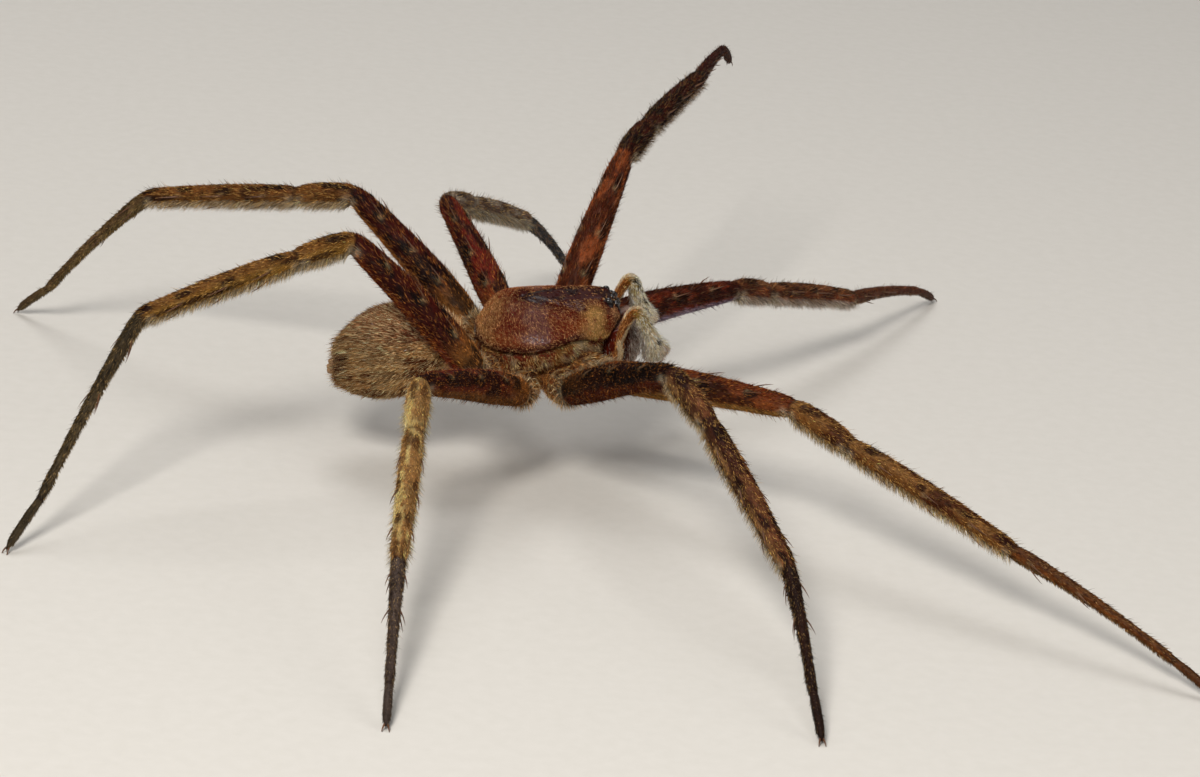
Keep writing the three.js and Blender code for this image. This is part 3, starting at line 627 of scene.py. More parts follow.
def feeler_tube(side_name):
    side = 1 if side_name == "left" else -1
    knee = np.array([feeler_knee[0] + feeler_lead[side_name], side * feeler_knee[1], feeler_knee[2]])
    centres = [np.array([x, side * y, z]) for (x, y, z), half in feeler_root_stops]
    centres += [knee + [x, side * y, z] for (x, y, z), half in feeler_rise_stops]
    reach = feeler_reach[side_name]
    centres += [knee + [x * reach, side * y, z] for (x, y, z), half in feeler_fall_stops]
    halves = [half - feeler_coat_depth for _, half in feeler_root_stops + feeler_rise_stops + feeler_fall_stops]
    return bent_tube(onto_trunk(centres), halves, 90, 40)


def feeler_colours(share, outer, place):
    """The outer side runs over the arch of the feeler, the inner one under it."""
    ragged = clouds(place, 0.5, 5) - 0.5
    ground = blend(linear("#8A5228"), linear("#EBD6B2"), smooth(share + 0.1 * ragged, 0.5, 0.64))
    yellow = smooth(share, 0.46, 0.52) * (1 - smooth(share + 0.3 * ragged, 0.64, 0.78))
    yellow = yellow * (1 - smooth(np.abs(outer), 0.7, 0.95))
    rust = smooth(share, 0.36, 0.42) * (1 - smooth(share, 0.5, 0.54)) * smooth(ragged, -0.16, 0.02)
    ridge = smooth(outer, 0.7, 0.95) * smooth(share, 0.36, 0.42)
    root = smooth(-outer, 0.55, 0.85) * (1 - smooth(share, 0.4, 0.5))
    hollow = smooth(-outer, 0.55, 0.95) * smooth(share, 0.62, 0.72)
    dots = smooth(clouds(place, 0.27, 11), 0.56, 0.66) * smooth(outer, -0.2, 0.3)
    dots = dots * (1 - smooth(outer, 0.85, 0.95)) * smooth(share, 0.42, 0.5) * (1 - smooth(share, 0.84, 0.9))
    rusty_end = smooth(share + 0.1 * ragged + 0.05 * outer, 0.94, 0.99)
    return painted(ground, ("#A88F44", 0.75 * yellow), ("#94500F", 0.7 * rust), ("#F0E2C4", 0.8 * ridge),
                   ("#D8C9A6", 0.8 * root), ("#A898A0", 0.6 * hollow), ("#0C0606", 0.95 * dots),
                   ("#9A5234", 0.85 * rusty_end))


# The thin cuticle under the hair of trunk and limbs is dull and soft-looking, with fine wrinkles.
cuticle = marked_chitin("hairy_cuticle", scale=4200.0, darkest=0.45, brightest=1.6, strength=0.5, depth=0.08,
                        roughness=0.55, specular=0.1)

flesh_grids, flesh_tints = [], []
for side_name in ("left", "right"):
    tube = feeler_tube(side_name)
    flesh_grids.append(tube)
    flesh_tints.append(feeler_colours(tube["share"][..., 0], tube["outer"][..., 0], tube["points"]) * 0.5)
    hair_count = 11000
    hairs = scatter(tube, hair_count, 1 + 1.2 * tube["share"][..., 0])
    share, outer = hairs["at"](tube["share"])[:, 0], hairs["at"](tube["outer"])[:, 0]
    hairs["lie"] = hairs["at"](tube["way"]) + 0.22 * random.normal(size=(hair_count, 3))
    end = smooth(share, 0.6, 0.85)
    outstanding = random.random(hair_count) < 0.06 + 0.06 * end
    hairs["length"] = random.uniform(0.2, 0.36, hair_count) * (1 + 0.7 * end) * np.where(outstanding, 1.2, 1)
    hairs["width"] = np.where(outstanding, 0.035, random.uniform(0.045, 0.07, hair_count))
    hairs["lean"] = np.where(outstanding, random.uniform(32, 52, hair_count),
                             random.uniform(8, 26, hair_count))
    beyond = smooth(share, 0.5, 0.58)[:, None]
    ground = feeler_colours(share, outer, hairs["place"])
    cream = mixed_tints(ground, 0.42, "#FFF4DC", 0.42) * 1.35
    hairs["colour"] = mixed_tints(ground, 0.3, "#C79660", 0.5) * (1 - beyond) + cream * beyond
    hair_piece(f"feeler_{side_name}_hair", hairs, setae)


# Legs
# Eight legs, each one tube of thin hairy cuticle from the coxa under the body to the foot, drawn in at its
# joints, where a soft skin lets the real leg bend.
joints = ("coxa", "femur", "patella", "tibia", "metatarsus", "tarsus")
# For each pair of legs, the lengths of femur, patella, tibia, metatarsus and tarsus.
leg_lengths = {
    1: (15.8, 5.5, 14.8, 14.2, 4.2), 2: (15.1, 5.8, 13.7, 11.0, 4.2),
    3: (14.9, 5.3, 12.9, 12.2, 3.8), 4: (13.8, 4.8, 12.8, 15.2, 4.5),
}
hips = {1: (4.5, 4.9, -1.7), 2: (2.0, 6.0, -2.5), 3: (-1.5, 6.0, -2.5), 4: (-4.5, 4.8, -1.6)}
inner_hips = {1: (2.4, 1.9), 2: (0.9, 2.2), 3: (-0.9, 2.2), 4: (-2.5, 1.8)}
# In degrees, each leg's turns of femur, of patella with tibia and of the rest, and then the rises of femur,
# patella, tibia and tarsus. A metatarsus reaches down to the floor, apart from the one raised foot's.
poses = {
    "right_1": ((-34, -42, -41), (5, -15, -14, -24)), "right_2": ((-65, -66, -85), (24, -16, -27, -27)),
    "right_3": ((-126, -96, -94), (17, -21, -22, -22)), "right_4": ((173, -153, -128), (43, -11, -14, -39)),
    "left_1": ((40, 52, 57), (0, -15, -15, -24)), "left_2": ((60, 67, 73), (50, 9, 3, -30)),
    "left_3": ((110, 63, 65), (23, -17, -20, -32)), "left_4": ((144, 156, 133), (34, -11, -11, -39)),
}
raised_feet = {"left_2": -2}
foot_height = 0.3
thickness = {
    "coxa": [(0, 1.15), (0.4, 1.36), (0.8, 1.34), (1, 1.08)],
    "femur": [(0, 1.12), (0.1, 1.32), (0.35, 1.4), (0.7, 1.18), (0.92, 1.0), (1, 0.88)],
    "patella": [(0, 0.84), (0.18, 0.97), (0.55, 1.0), (0.85, 0.94), (1, 0.84)],
    "tibia": [(0, 0.82), (0.1, 0.9), (0.45, 0.9), (0.85, 0.78), (0.95, 0.78), (1, 0.66)],
    "metatarsus": [(0, 0.56), (0.08, 0.6), (0.3, 0.52), (0.8, 0.4), (0.94, 0.42), (1, 0.36)],
    "tarsus": [(0, 0.34), (0.15, 0.38), (0.6, 0.37), (0.9, 0.34), (1, 0.2)],
}
bows = {"coxa": 0, "femur": 0.25, "patella": 0.12, "tibia": 0.15, "metatarsus": 0.3, "tarsus": 0.08}
leg_coat_depth = {
    "coxa": 0.14, "femur": 0.18, "patella": 0.15, "tibia": 0.14, "metatarsus": 0.09, "tarsus": 0.07,
}
pair_scale = {1: 1.0, 2: 1.0, 3: 0.96, 4: 1.0}
rings_per_mm = 4.5
leg_sides = 30
neck_depth, neck_length = 0.2, 0.3


def heading(turn, rise):
    flat = math.cos(math.radians(rise))
    turn = math.radians(turn)
    return np.array([flat * math.cos(turn), flat * math.sin(turn), math.sin(math.radians(rise))])


def leg_tube(name):
    side = 1 if name.startswith("left") else -1
    pair = int(name[-1])
    turns, rises = poses[name]
    lengths = leg_lengths[pair]
    (hip_x, hip_y, hip_z), (inner_x, inner_y) = hips[pair], inner_hips[pair]
    places = [onto_trunk([inner_x, side * inner_y, hip_z - 0.1]), onto_trunk([hip_x, side * hip_y, hip_z])]
    ways = [unit(places[1] - places[0])]
    ways += [heading(turns[0], rises[0]), heading(turns[1], rises[1]), heading(turns[1], rises[2])]
    for way, length in zip(ways[1:], lengths):
        places.append(places[-1] + way * length)
    fall = foot_height - lengths[4] * math.sin(math.radians(rises[3])) - places[-1][2]
    reach = raised_feet[name] if name in raised_feet else math.degrees(math.asin(fall / lengths[3]))
    ways += [heading(turns[2], reach), heading(turns[2], rises[3])]
    places.append(places[-1] + ways[4] * lengths[3])
    places.append(places[-1] + ways[5] * lengths[4])
    cuts = [ways[0], *[unit(a + b) for a, b in zip(ways, ways[1:])], ways[-1]]
    angle = ring_angles(leg_sides)
    rings, station, axes, run, walked, far_off = [], [], [], [], 0.0, 9
    for k, joint in enumerate(joints):
        axis = ways[k]
        across = unit(np.cross([0, 0, 1], axis))
        over = np.cross(axis, across)
        length = np.linalg.norm(places[k + 1] - places[k])
        share = np.linspace(0, 1, int(length * rings_per_mm) + 1)[min(k, 1):]
        half = along(thickness[joint], share) * pair_scale[pair] - leg_coat_depth[joint]
        to_joint = np.minimum(share if k else far_off, 1 - share if k < 5 else far_off) * length
        half = half * (1 - neck_depth * np.exp(-((to_joint / neck_length) ** 2)))
        if joint == "tarsus":
            half = half * round_end(share, 0.86, 1.01, 0.004)
        near_start = np.maximum(0, 1 - share / 0.5)
        near_end = np.maximum(0, 1 - (1 - share) / 0.5)
        cut = blend(axis + 0 * share[:, None], cuts[k], near_start)
        cut = unit(blend(cut, cuts[k + 1], near_end))
        bow = 4 * bows[joint] * share * (1 - share)
        middle = places[k] + axis * (length * share)[:, None] + over * bow[:, None]
        out = np.cos(angle)[None, :, None] * across + np.sin(angle)[None, :, None] * over
        out = out * half[:, None, None]
        slide = -np.sum(out * cut[:, None], axis=-1) / np.sum(axis * cut, axis=-1)[:, None]
        rings.append(middle[:, None] + out + slide[..., None] * axis)
        station.append(k + np.minimum(share, 0.9999))
        axes.append(np.repeat(axis[None], len(share), axis=0))
        run.append(walked + length * share)
        walked += length
    rings, axes = evened(np.concatenate(rings), 5), evened(np.concatenate(axes), 5)
    grid = loft(rings)

    def per_ring(values):
        return np.repeat(np.asarray(values)[:, None], leg_sides, axis=1)[..., None]

    grid["station"] = per_ring(np.concatenate(station))
    grid["run"] = per_ring(np.concatenate(run))
    grid["way"] = np.repeat(axes[:, None], leg_sides, axis=1)
    grid["cos"] = np.repeat(np.cos(angle)[None], len(rings), axis=0)[..., None]
    grid["sin"] = np.repeat(np.sin(angle)[None], len(rings), axis=0)[..., None]
    return grid


# Each leg's markings, as the colours of back, flank, belly and blotches of femur, of patella and tibia, and
# of metatarsus and tarsus. The femur colours of right_2 hold painted shade as well as its own colour.
coxa_coat = ("#B07A40", "#A0582C", "#C09258", "#6E1E10")
leg_coats = {
    "right_1": (("#84401E", "#9A5228", "#C0904E", "#2E100A"), ("#A0703E", "#94602E", "#CCA468", "#4E1A0C"),
                ("#7C4E2A", "#884E20", "#86643C", "#4A2412")),
    # Painted shade: the femur of right_2 is drawn near black, as it lies low at the front of the body.
    "right_2": (("#34120A", "#2E140C", "#66280E", "#120706"), ("#8A5638", "#9E744C", "#C0A074", "#3A1612"),
                ("#3E241A", "#38200F", "#523422", "#1A0E0A")),
    "right_3": (("#6E2A22", "#74321A", "#A06C3C", "#180908"), ("#EACB86", "#FFE9B4", "#D2C4A2", "#A0693A"),
                ("#6E5C52", "#705C4A", "#746A60", "#382A26")),
    "right_4": (("#52190F", "#461610", "#763018", "#0C0507"), ("#926230", "#A67A38", "#BE9E6C", "#341008"),
                ("#5E4E34", "#7C6A50", "#B09A72", "#120B08")),
    "left_1": (("#82341C", "#7C321C", "#9E8C9E", "#30100A"), ("#9A603C", "#8E4824", "#C4B4AC", "#461A0E"),
               ("#8A4C2C", "#7A4228", "#8A6854", "#401E14")),
    "left_2": (("#A45830", "#9A5630", "#B4BACA", "#3E120B"), ("#501808", "#5A1E0A", "#9C8478", "#260A05"),
               ("#561A09", "#4E1607", "#64341C", "#280B05")),
    "left_3": (("#86281A", "#742412", "#A0703E", "#1A0807"), ("#CDBCA8", "#C2B09C", "#BEB6AE", "#704838"),
               ("#565052", "#504C50", "#605E62", "#262022")),
    "left_4": (("#561A10", "#4A1810", "#A46A32", "#0E0606"), ("#98602E", "#8A5A2C", "#B8905E", "#30120A"),
               ("#8E6E3C", "#846642", "#967E54", "#38220F")),
}
blotch_share = np.array([0.5, 0.8, 0.75, 0.8, 0.45, 0.25])
streak_length = np.array([1.4, 1.8, 2.0, 2.8, 1.5, 1.5])
coxa_length = 3.6
femur_gold = {"right_4": 0.8, "right_3": 0.7, "left_4": 0.8, "left_3": 0.5}
dash_spacing, hoop_spacing = 0.8, 0.7
# Each dark spot: its joint, how far along it, how many degrees up the flank, and its size.
dark_spots = (
    ("coxa", 0.62, 62, 1.2), ("femur", 0.3, 38, 0.75), ("femur", 0.55, 30, 0.85),
    ("femur", 0.8, 42, 0.7), ("patella", 0.3, 62, 1.0), ("tibia", 0.12, 70, 0.9),
    ("tibia", 0.45, 35, 0.8), ("tibia", 0.72, 55, 0.7), ("tibia", 0.95, 60, 0.8),
)
# Along each joint, the shares of its length where spines stand, and their turns about it in degrees.
spine_rows = {
    "femur": ((0.28, 0.52, 0.78), (48, 132)), "tibia": ((0.2, 0.48, 0.76), (-48, -132, 12, 168)),
    "metatarsus": ((0.12, 0.42), (-45, -135, 8, 172)),
}
spine_places = [
    (row, at, turn) for row, (shares, turns) in spine_rows.items() for at in shares for turn in turns
]
spine_length = {"femur": 1.6, "tibia": 1.8, "metatarsus": 1.6}


def leg_colours(name, station, run, cos, sin, place):
    femur, tibia, foot = leg_coats[name]
    table = np.array([[linear(c) for c in row] for row in (coxa_coat, femur, tibia, tibia, foot, foot)])
    joint = np.clip(station.astype(int), 0, 5)
    share = station - joint
    back, flank, belly, blotch = np.moveaxis(table[joint], -2, 0)
    offset = 3.7 * list(leg_coats).index(name)
    fine = clouds(place, 0.45, offset)
    broken = clouds(place, 0.25, offset + 2)
    ground = blend(flank, back, smooth(sin, 0.2, 0.8))
    ground = blend(ground, belly, smooth(-sin + 0.3 * (fine - 0.5), 0.25, 0.6))
    golden = (joint == 1) * (1 - smooth(share, 0.1, 0.34)) + (joint == 0)
    golden = golden * (1 - smooth(-sin, 0.2, 0.6)) * np.where(joint == 0, 0.5, femur_gold.get(name, 0.2))
    ground = blend(ground, linear("#B0763A"), golden)
    streak = clouds(np.stack([run / streak_length[joint], 1.6 * cos, 1.6 * sin], axis=-1), 1.0, offset)
    stained = smooth(streak + 0.3 * (fine - 0.5) + 0.14 * (broken - 0.5), 0.5, 0.6) * blotch_share[joint]
    ground = blend(ground, blotch, stained * (1 - 0.75 * smooth(-sin, 0.2, 0.6)))
    lengths = np.array([coxa_length, *leg_lengths[int(name[-1])]])[joint]
    around = np.degrees(np.arctan2(sin, np.abs(cos)))
    for row, at, turn, size in dark_spots:
        far = ((share - at) * lengths / size) ** 2 + ((around - turn) / 24) ** 2
        spot = (joint == joints.index(row)) * smooth(1.15 - far + 1.5 * (broken - 0.5), 0, 0.6)
        ground = blend(ground, blotch * 0.5, 0.88 * spot)
    dashes = smooth(np.cos(run * 2 * np.pi / dash_spacing + 4 * fine), 0.2, 0.7)
    dashes = dashes * np.exp(-(((around - 38) / 14) ** 2)) * (joint == 4)
    ground = blend(ground, blotch, 0.75 * dashes)
    to_end = np.minimum(share, 1 - share) * lengths
    fringed = np.exp(-(((to_end - 0.35) / 0.35) ** 2)) * smooth(0.5 - sin, 0, 0.8)
    ground = blend(ground, linear("#E2D2B4"), 0.6 * fringed * ((joint >= 1) & (joint <= 3)))
    past_hip = np.where(station > 1, (station - 1) * lengths, (1 - station) * coxa_length)
    hoops = smooth(np.cos(run * 2 * np.pi / hoop_spacing + 5 * fine), 0.0, 0.8) * (joint < 2)
    reach = np.where(station < 1, 1.6, 0.6)
    ground = blend(ground, linear("#E8CFA0"), 0.65 * hoops * (1 - smooth(past_hip / reach, 0.6, 1.4)))
    neck = np.exp(-((to_end / 0.16) ** 2)) * (station > 0.5) * (station < 5.5)
    ground = blend(ground, linear("#2A120D"), 0.7 * neck)
    for row, at, turn in spine_places:
        apart = (np.degrees(np.arctan2(sin, cos)) - turn + 180) % 360 - 180
        far = ((share - at) * lengths) ** 2 + (apart / 57) ** 2
        ground = blend(ground, linear("#E8CC9C"), 0.5 * (joint == joints.index(row)) * np.exp(-far / 0.035))
    return ground * ((0.7 + 0.6 * fine) * (1 - 0.35 * smooth(station, 4.9, 5.3)))[..., None]


leg_tubes = {name: leg_tube(name) for name in poses}


def leg_tints_of(name, at):
    return leg_colours(name, *(at(leg_tubes[name][key])[..., 0] for key in ("station", "run", "cos", "sin")),
                       at(leg_tubes[name]["points"]))


flesh_grids += list(leg_tubes.values())
flesh_tints += [leg_tints_of(name, lambda values: values) * 0.45 for name in poses]


# Breast
# Between the legs lies the heart-shaped breast plate, with the two plates beside the mouth, the soft side
# walls under the carapace and the narrow waist.
breast_half_width = [(-4.0, 1.2), (-2.5, 2.3), (0, 2.7), (2.2, 2.3), (3.4, 1.5)]
breast_top, breast_bottom = -0.85, -2.9
breast_coat_depth = 0.14
waist_half = 0.65
wall_inset, wall_half_depth, wall_drop = 0.5, 1.25, 1.0


def oval_rings(stations, centre_z, half_y, half_z, sides, fullness=1.0):
    angle = ring_angles(sides)
    aside, aloft = (np.sign(v) * np.abs(v) ** fullness for v in (np.cos(angle), np.sin(angle)))
    half_y, half_z, centre_z = (np.broadcast_to(v, len(stations)) for v in (half_y, half_z, centre_z))
    rings = [np.stack([np.full(sides, x), w * aside, c + h * aloft], axis=1)
             for x, w, h, c in zip(stations, half_y, half_z, centre_z)]
    return lifted(loft(rings))


stations = np.linspace(-4.0, 3.4, 40)
ends = 1 - 0.35 * np.abs(2 * np.linspace(0, 1, 40) - 1) ** 3
breast = oval_rings(stations, (breast_top + breast_bottom) / 2,
                    along(breast_half_width, stations) - breast_coat_depth,
                    (breast_top - breast_bottom) / 2 * ends - breast_coat_depth, 48)
stations = np.linspace(-4.15, 4.6, 60)
side_wall = oval_rings(stations, along(carapace_rim, stations) - wall_drop,
                       along(carapace_half_width, stations) - wall_inset, wall_half_depth, 64, 0.6)
waist = oval_rings(np.linspace(-3.6, -5.6, 12), -0.95, waist_half - 0.1, waist_half * 0.8 - 0.1, 28)
mouth_stops = [
    ((2.3, 1.4, -2.1), 0.75), ((3.6, 2.5, -1.9), 0.78), ((4.9, 2.9, -1.85), 0.6), ((5.9, 3.0, -1.4), 0.54),
]
mouth_plates = [
    bent_tube(onto_trunk([(x, side * y, z) for (x, y, z), half in mouth_stops]),
              [half - 0.1 for _, half in mouth_stops], 36, 30)
    for side in (1, -1)
]


def breast_colours(place):
    ground = blend(linear("#A9713A"), linear("#8A3C20"), smooth(clouds(place, 0.9, 23), 0.5, 0.62))
    stained = smooth(clouds(place, 0.7, 41), 0.62, 0.72)
    x, y, z = np.moveaxis(off_trunk(place), -1, 0)
    ahead = smooth(x, 1.4, 3.0)
    pale = smooth(clouds(place, 0.5, 29) + 0.16 * ahead, 0.56, 0.7)
    # A bare dark red patch lies over the root of the first leg.
    patch = 1.3 - ((x - 3.3) / 0.8) ** 2 - ((z + 0.75) / 0.5) ** 2
    bare = smooth(patch + 0.8 * (clouds(place, 0.4, 51) - 0.5), 0, 0.6)
    return painted(ground, ("#5A180C", 0.8 * stained), ("#E2CCA4", (0.5 + 0.3 * ahead) * pale),
                   ("#5E160C", 0.85 * bare))


breast_grids = [breast, side_wall, waist, *mouth_plates]
flesh_grids += breast_grids
flesh_tints += [breast_colours(grid["points"]) * 0.5 for grid in breast_grids]


# Leg and breast hair
# Short flat hair runs down each leg to the foot. Finer hair stands out of it, as a silvery fringe under
# patella and tibia, in pale tufts round the hips, and as a brush under the last two joints. Breast, waist
# and side walls bear looser, raised hair.
hair_length = np.array([0.42, 0.42, 0.42, 0.42, 0.34, 0.24])
fair_hair = ("#D8A868", "#BE8244", "#D8AE6A", "#D8AE6A", "#B89868", "#A88C68")
fair_chance = np.array([0.32, 0.2, 0.26, 0.26, 0.18, 0.15])
ruddy_legs = ("left_1", "left_2")
hair_count = 27500
for name, tube in leg_tubes.items():
    hairs = scatter(tube, hair_count, 1 + 0.7 * smooth(-tube["sin"][..., 0], 0.2, 0.8))
    station, run, cos, sin = (hairs["at"](tube[key])[:, 0] for key in ("station", "run", "cos", "sin"))
    joint = np.clip(station.astype(int), 0, 5)
    under = smooth(-sin, 0.15, 0.6)
    chance = random.random(hair_count)
    fringe = (chance < 0.65 * under) & ((joint == 2) | (joint == 3))
    tuft = (chance < 0.35) & (station > 0.8) & (station < 1.03) & ~fringe
    brush = (joint >= 4) & (sin < -0.35)
    stray = (random.random(hair_count) < 0.06) & ~fringe & ~tuft & ~brush
    hairs["lie"] = hairs["at"](tube["way"]) + 0.2 * random.normal(size=(hair_count, 3))
    hairs["length"] = hair_length[joint] * random.uniform(0.7, 1.2, hair_count)
    hairs["length"] *= 1 + 0.9 * fringe + 0.8 * tuft + 0.7 * stray - 0.1 * brush + 0.5 * (joint == 0)
    hairs["width"] = np.where(fringe | stray, random.uniform(0.036, 0.05, hair_count),
                              random.uniform(0.05, 0.078, hair_count) * np.where(joint == 5, 0.7, 1))
    low, high = np.where(fringe | tuft, 38, np.where(brush, 32, 8)), np.where(fringe | tuft | brush, 58, 26)
    low, high = np.where(stray, 28, low), np.where(stray, 55, high)
    hairs["lean"] = low + (high - low) * random.random(hair_count)
    ground = leg_tints_of(name, hairs["at"])
    ruddy = name in ruddy_legs
    paleness = np.where(fringe, 0.25 if ruddy else 0.6, np.where(tuft, 0.5, 0.15 * stray))
    ground = blend(ground, linear("#DCCDB0"), paleness)
    fair = np.array([linear(code) for code in fair_hair])[joint]
    is_fair = random.random(hair_count) < fair_chance[joint]
    fairer, duller = blend(ground, fair, 0.25 if ruddy else 0.62), ground * (0.85 if ruddy else 0.72)
    tint = np.where(is_fair[:, None], fairer, duller)
    hairs["colour"] = tint * np.exp(0.38 * random.normal(size=hair_count) - 0.05)[:, None]
    hair_piece(f"leg_{name}_hair", hairs, setae)

# Each part of the trunk below the shield: its grid, its number of hairs, and whether they lie ahead or back.
breast_hair = {
    "breast": (breast, 4000, -1.0), "side_wall": (side_wall, 17000, 0.5), "waist": (waist, 1000, -1.0),
}
breast_hair |= {f"mouth_plate_{k}": (plate, 2500, 1.0) for k, plate in enumerate(mouth_plates)}
for name, (grid, hair_count, ahead) in breast_hair.items():
    hairs = scatter(grid, hair_count)
    hairs["lie"] = np.array([ahead, 0, -0.6]) + 0.4 * random.normal(size=(hair_count, 3))
    drawn(hairs, length=(0.3, 0.65), width=(0.045, 0.075), lean=(20, 60))
    hairs["colour"] = mixed_tints(breast_colours(hairs["place"]), 0.35, "#D8B880")
    hair_piece(f"{name}_hair", hairs, setae)


# Spines and claws
# Slender hollow spikes of dark chitin lie in sockets along femur, tibia and metatarsus, and each foot ends
# in two curved claws. One spike of each kind is drawn out of a small disc and set in every place.
def drawn_spike(name, half, steps):
    bpy.ops.mesh.primitive_circle_add(vertices=8, radius=half, fill_type="NGON", location=(0, 0, 0))
    spike = bpy.context.object
    spike.name = name
    bpy.ops.object.mode_set(mode="EDIT")
    for rise, drift, narrower in steps:
        bpy.ops.mesh.extrude_region_move(TRANSFORM_OT_translate={"value": (drift, 0, rise)})
        bpy.ops.transform.resize(value=(narrower, narrower, narrower))
    bpy.ops.mesh.select_all(action="SELECT")
    bpy.ops.mesh.normals_make_consistent(inside=False)
    bpy.ops.object.mode_set(mode="OBJECT")
    points = np.array([v.co for v in spike.data.vertices])
    faces = [list(p.vertices) for p in spike.data.polygons]
    bpy.data.objects.remove(spike)
    return points, faces


def set_spikes(name, pattern, roots, ways, bends, lengths, material):
    """The pattern set in every place, each with its own way, bend and length."""
    points, faces = pattern
    roots, way = np.array(roots), unit(ways)
    bend = unit(bends - way * np.sum(bends * way, axis=1, keepdims=True))
    aside = np.cross(way, bend)
    scaled = points[None] * np.asarray(lengths)[:, None, None]
    placed = (roots[:, None] + scaled[..., :1] * bend[:, None] + scaled[..., 1:2] * aside[:, None]
              + scaled[..., 2:] * way[:, None])
    placed[..., 2] = np.maximum(placed[..., 2], 0.01)
    mesh = bpy.data.meshes.new(name)
    joined = [[corner + len(points) * k for corner in face] for k in range(len(roots)) for face in faces]
    mesh.from_pydata((placed.reshape(-1, 3) * MM).tolist(), [], joined)
    mesh.shade_smooth()
    return body_piece(name, mesh, material)


# Thick chitin without hair is nearly black to amber, with a soft shine.
horn = two_toned("dark_chitin_horn", "#2A150E", "#7A5236", scale=1400.0, detail=3.0, roughness=0.35,
                 specular=0.3)

spine_steps = [(0.18, 0, 1.0), (0.3, 0.02, 0.72), (0.32, 0.05, 0.6), (0.2, 0.05, 0.25)]
spine_pattern = drawn_spike("spine", 0.036, spine_steps)
roots, ways, bends, lengths = [], [], [], []
for name, tube in leg_tubes.items():
    angles = np.arctan2(tube["sin"][0, :, 0], tube["cos"][0, :, 0])
    for row, at, turn in spine_places:
        ring = np.argmin(np.abs(tube["station"][:, 0, 0] - joints.index(row) - at))
        side = np.argmin(np.abs((angles - math.radians(turn) + np.pi) % (2 * np.pi) - np.pi))
        out, axis = tube["normals"][ring, side], tube["way"][ring, side]
        lean = math.radians(random.uniform(16, 26))
        roots.append(tube["points"][ring, side] - 0.05 * out)
        ways.append(axis * math.cos(lean) + out * math.sin(lean))
        bends.append(axis)
        lengths.append(spine_length[row] * random.uniform(0.85, 1.05))
spines = set_spikes("leg_spines", spine_pattern, roots, ways, bends, lengths, horn)

claw_steps = [(0.25, 0, 0.9), (0.3, 0.08, 0.8), (0.25, 0.16, 0.7), (0.15, 0.18, 0.4)]
claw_pattern = drawn_spike("claw", 0.12, claw_steps)
roots, ways, bends = [], [], []
for name, tube in leg_tubes.items():
    tip, axis = tube["points"][-1].mean(axis=0), tube["way"][-1, 0]
    across = unit(np.cross([0, 0, 1], axis))
    for side in (1, -1):
        roots.append(tip + side * 0.1 * across - 0.2 * axis)
        ways.append(axis + side * 0.3 * across + [0, 0, 0.12])
        bends.append([0, 0, -1.0])
claw_length = 0.62
claws = set_spikes("claws", claw_pattern, roots, ways, bends, [claw_length] * len(roots), horn)


# Fangs
# Each jaw ends in one hinged hollow fang of black horn, folded inwards under it.
fang_steps = [(0.25, 0, 1.0), (0.3, 0.1, 0.86), (0.3, 0.24, 0.75), (0.25, 0.3, 0.6), (0.15, 0.26, 0.35)]
fang_pattern = drawn_spike("fang", 0.28, fang_steps)
jaw_x, jaw_z, jaw_y = jaw_stops[-1][:3]
for side_name, side in (("left", 1), ("right", -1)):
    root = onto_trunk([[jaw_x, side * jaw_y, jaw_z + 0.05]])
    way = np.array([[0.0, 0.0, -1.0]])
    bend = np.array([[-0.8, -side * 0.75, 0.0]])
    fang = set_spikes(f"fang_{side_name}_horn", fang_pattern, root, way, bend, [1.05], horn)
    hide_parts(f"fang_{side_name}")


# Abdomen
# A soft egg-shaped sack behind the waist. Its beige hair lies back in streaks with brown between them and
# stands off enough to blur the whole outline. Here the one skin of all the flesh is closed.
abdomen_front, abdomen_rear, abdomen_height, abdomen_flatness = -5.3, -15.05, -1.35, 0.83
abdomen_half_width = [
    (0, 1.1), (0.05, 2.2), (0.18, 3.3), (0.42, 4.05), (0.65, 4.15), (0.85, 3.3), (0.95, 2.25), (1, 1.0),
]
front_lift, rear_drop = 0.4, 1.0
abdomen_coat_depth = 0.3
share = 0.5 - 0.5 * np.cos(np.pi * np.linspace(0, 1, 70))
half = along(abdomen_half_width, share) - abdomen_coat_depth
abdomen_x = abdomen_front + (abdomen_rear - abdomen_front) * share
abdomen_x = np.clip(abdomen_x, abdomen_rear + abdomen_coat_depth, abdomen_front - 0.15)
centre = abdomen_height + front_lift * (1 - share) ** 2 - rear_drop * share**4
egg = oval_rings(abdomen_x, centre, half, half * abdomen_flatness, 80)


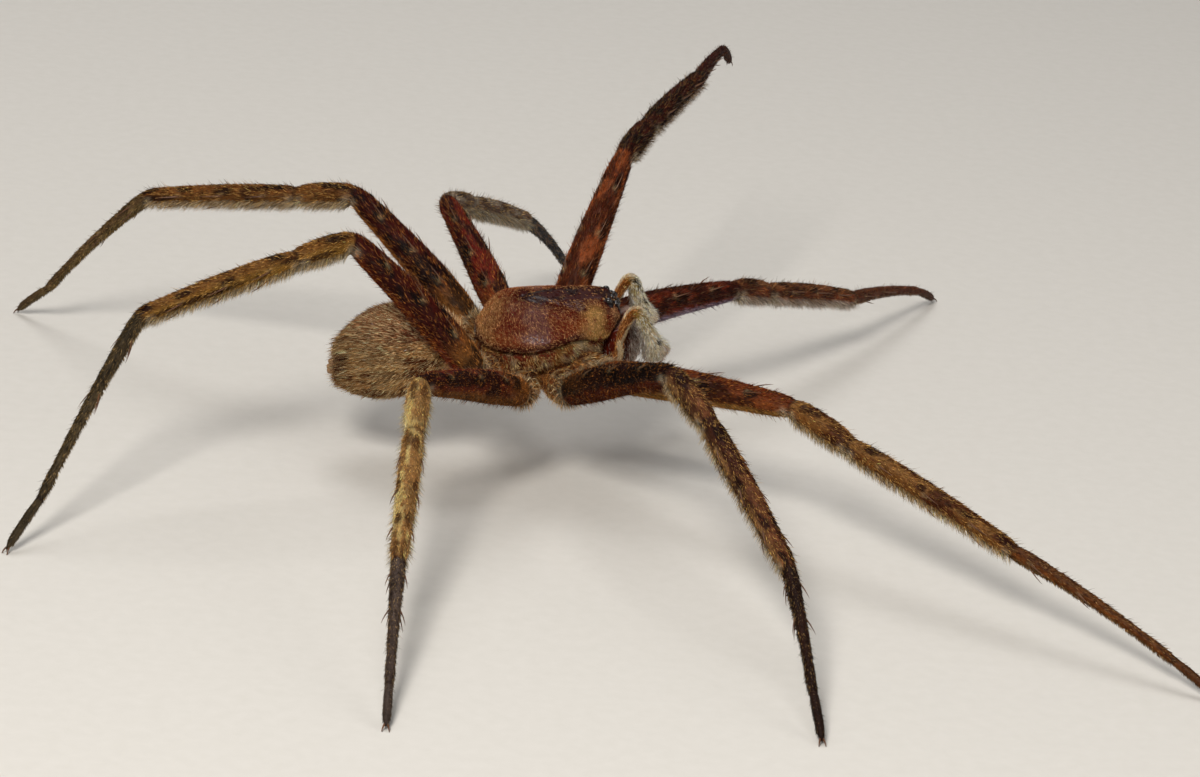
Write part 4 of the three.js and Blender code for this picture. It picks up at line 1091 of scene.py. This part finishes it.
def egg_colours(place):
    local = off_trunk(place)
    x, y, z = np.moveaxis(local, -1, 0)
    streak = clouds(local * [0.3, 1, 1], 0.36, 31)
    broad = clouds(local, 2.2, 37)
    ground = blend(linear("#D0A06A"), linear("#784424"), smooth(streak, 0.42, 0.62))
    pale = smooth(broad, 0.5, 0.7)
    upper = smooth(z - abdomen_height + 0.6 * (broad - 0.5), 0.9, 2.7)
    heart = smooth(0.8 - np.abs(y), 0, 0.5) * smooth(z - abdomen_height, 1.6, 2.6) * smooth(x, -12.5, -9)
    return painted(ground, ("#D6B07C", 0.5 * pale), ("#9C5E46", 0.6 * upper), ("#4E2A1E", 0.6 * heart))


flesh_grids.append(egg)
flesh_tints.append(egg_colours(egg["points"]) * 0.28)
hair_count = 48000
hairs = scatter(egg, hair_count)
hairs["lie"] = np.array([-1.0, 0, -0.12]) @ trunk_turn.T + 0.14 * random.normal(size=(hair_count, 3))
stray = random.random(hair_count) < 0.1
rearmost = smooth(-off_trunk(hairs["place"])[:, 0], 13.6, 14.7)
drawn(hairs, length=(0.34, 0.62), width=(0.045, 0.072), lean=(12, 38))
hairs["length"] *= np.where(stray, 1.35, 1) * (1 + 0.8 * rearmost)
hairs["lean"] += np.where(stray, 14, 0)
hairs["colour"] = mixed_tints(egg_colours(hairs["place"]), 0.3, "#E6CDA0", 0.38)
hair_piece("abdomen_hair", hairs, setae)

skin = skin_piece("spider_skin", flesh_grids, flesh_tints, cuticle)
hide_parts("sternum_and_coxae", "abdomen", "palp_left", "palp_right",
            *[f"{joint}_{name}" for joint in joints[1:] for name in poses])


# Spinnerets
# Two pairs of short blunt cones of light brown cuticle grow on the end of the abdomen, half hidden by its
# hair. Silk comes out of their tips.
spinneret_x, spinneret_z = abdomen_rear - 0.1, abdomen_height - rear_drop - 0.15
spinneret_steps = [(0.3, 0, 0.95), (0.3, 0, 0.85), (0.16, 0, 0.75), (0.06, 0, 0.55)]
spinneret_pattern = drawn_spike("spinneret", 0.32, spinneret_steps)
pairs = ((0.34, -0.18), (0.3, 0.26))
places = [(spinneret_x, side * y, spinneret_z + z) for side in (1, -1) for y, z in pairs]
ways = np.array([(-1, side * 0.12, -0.15) for side in (1, 1, -1, -1)]) @ trunk_turn.T
spinnerets = set_spikes("spinneret_cones", spinneret_pattern, onto_trunk(places) - 0.25 * ways, ways,
                        np.array([[0, 0, 1.0]] * 4), [1.0, 0.85, 1.0, 0.85], cuticle)
mark(spinnerets.data, linear("#8A6C4E"))
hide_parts("spinnerets")
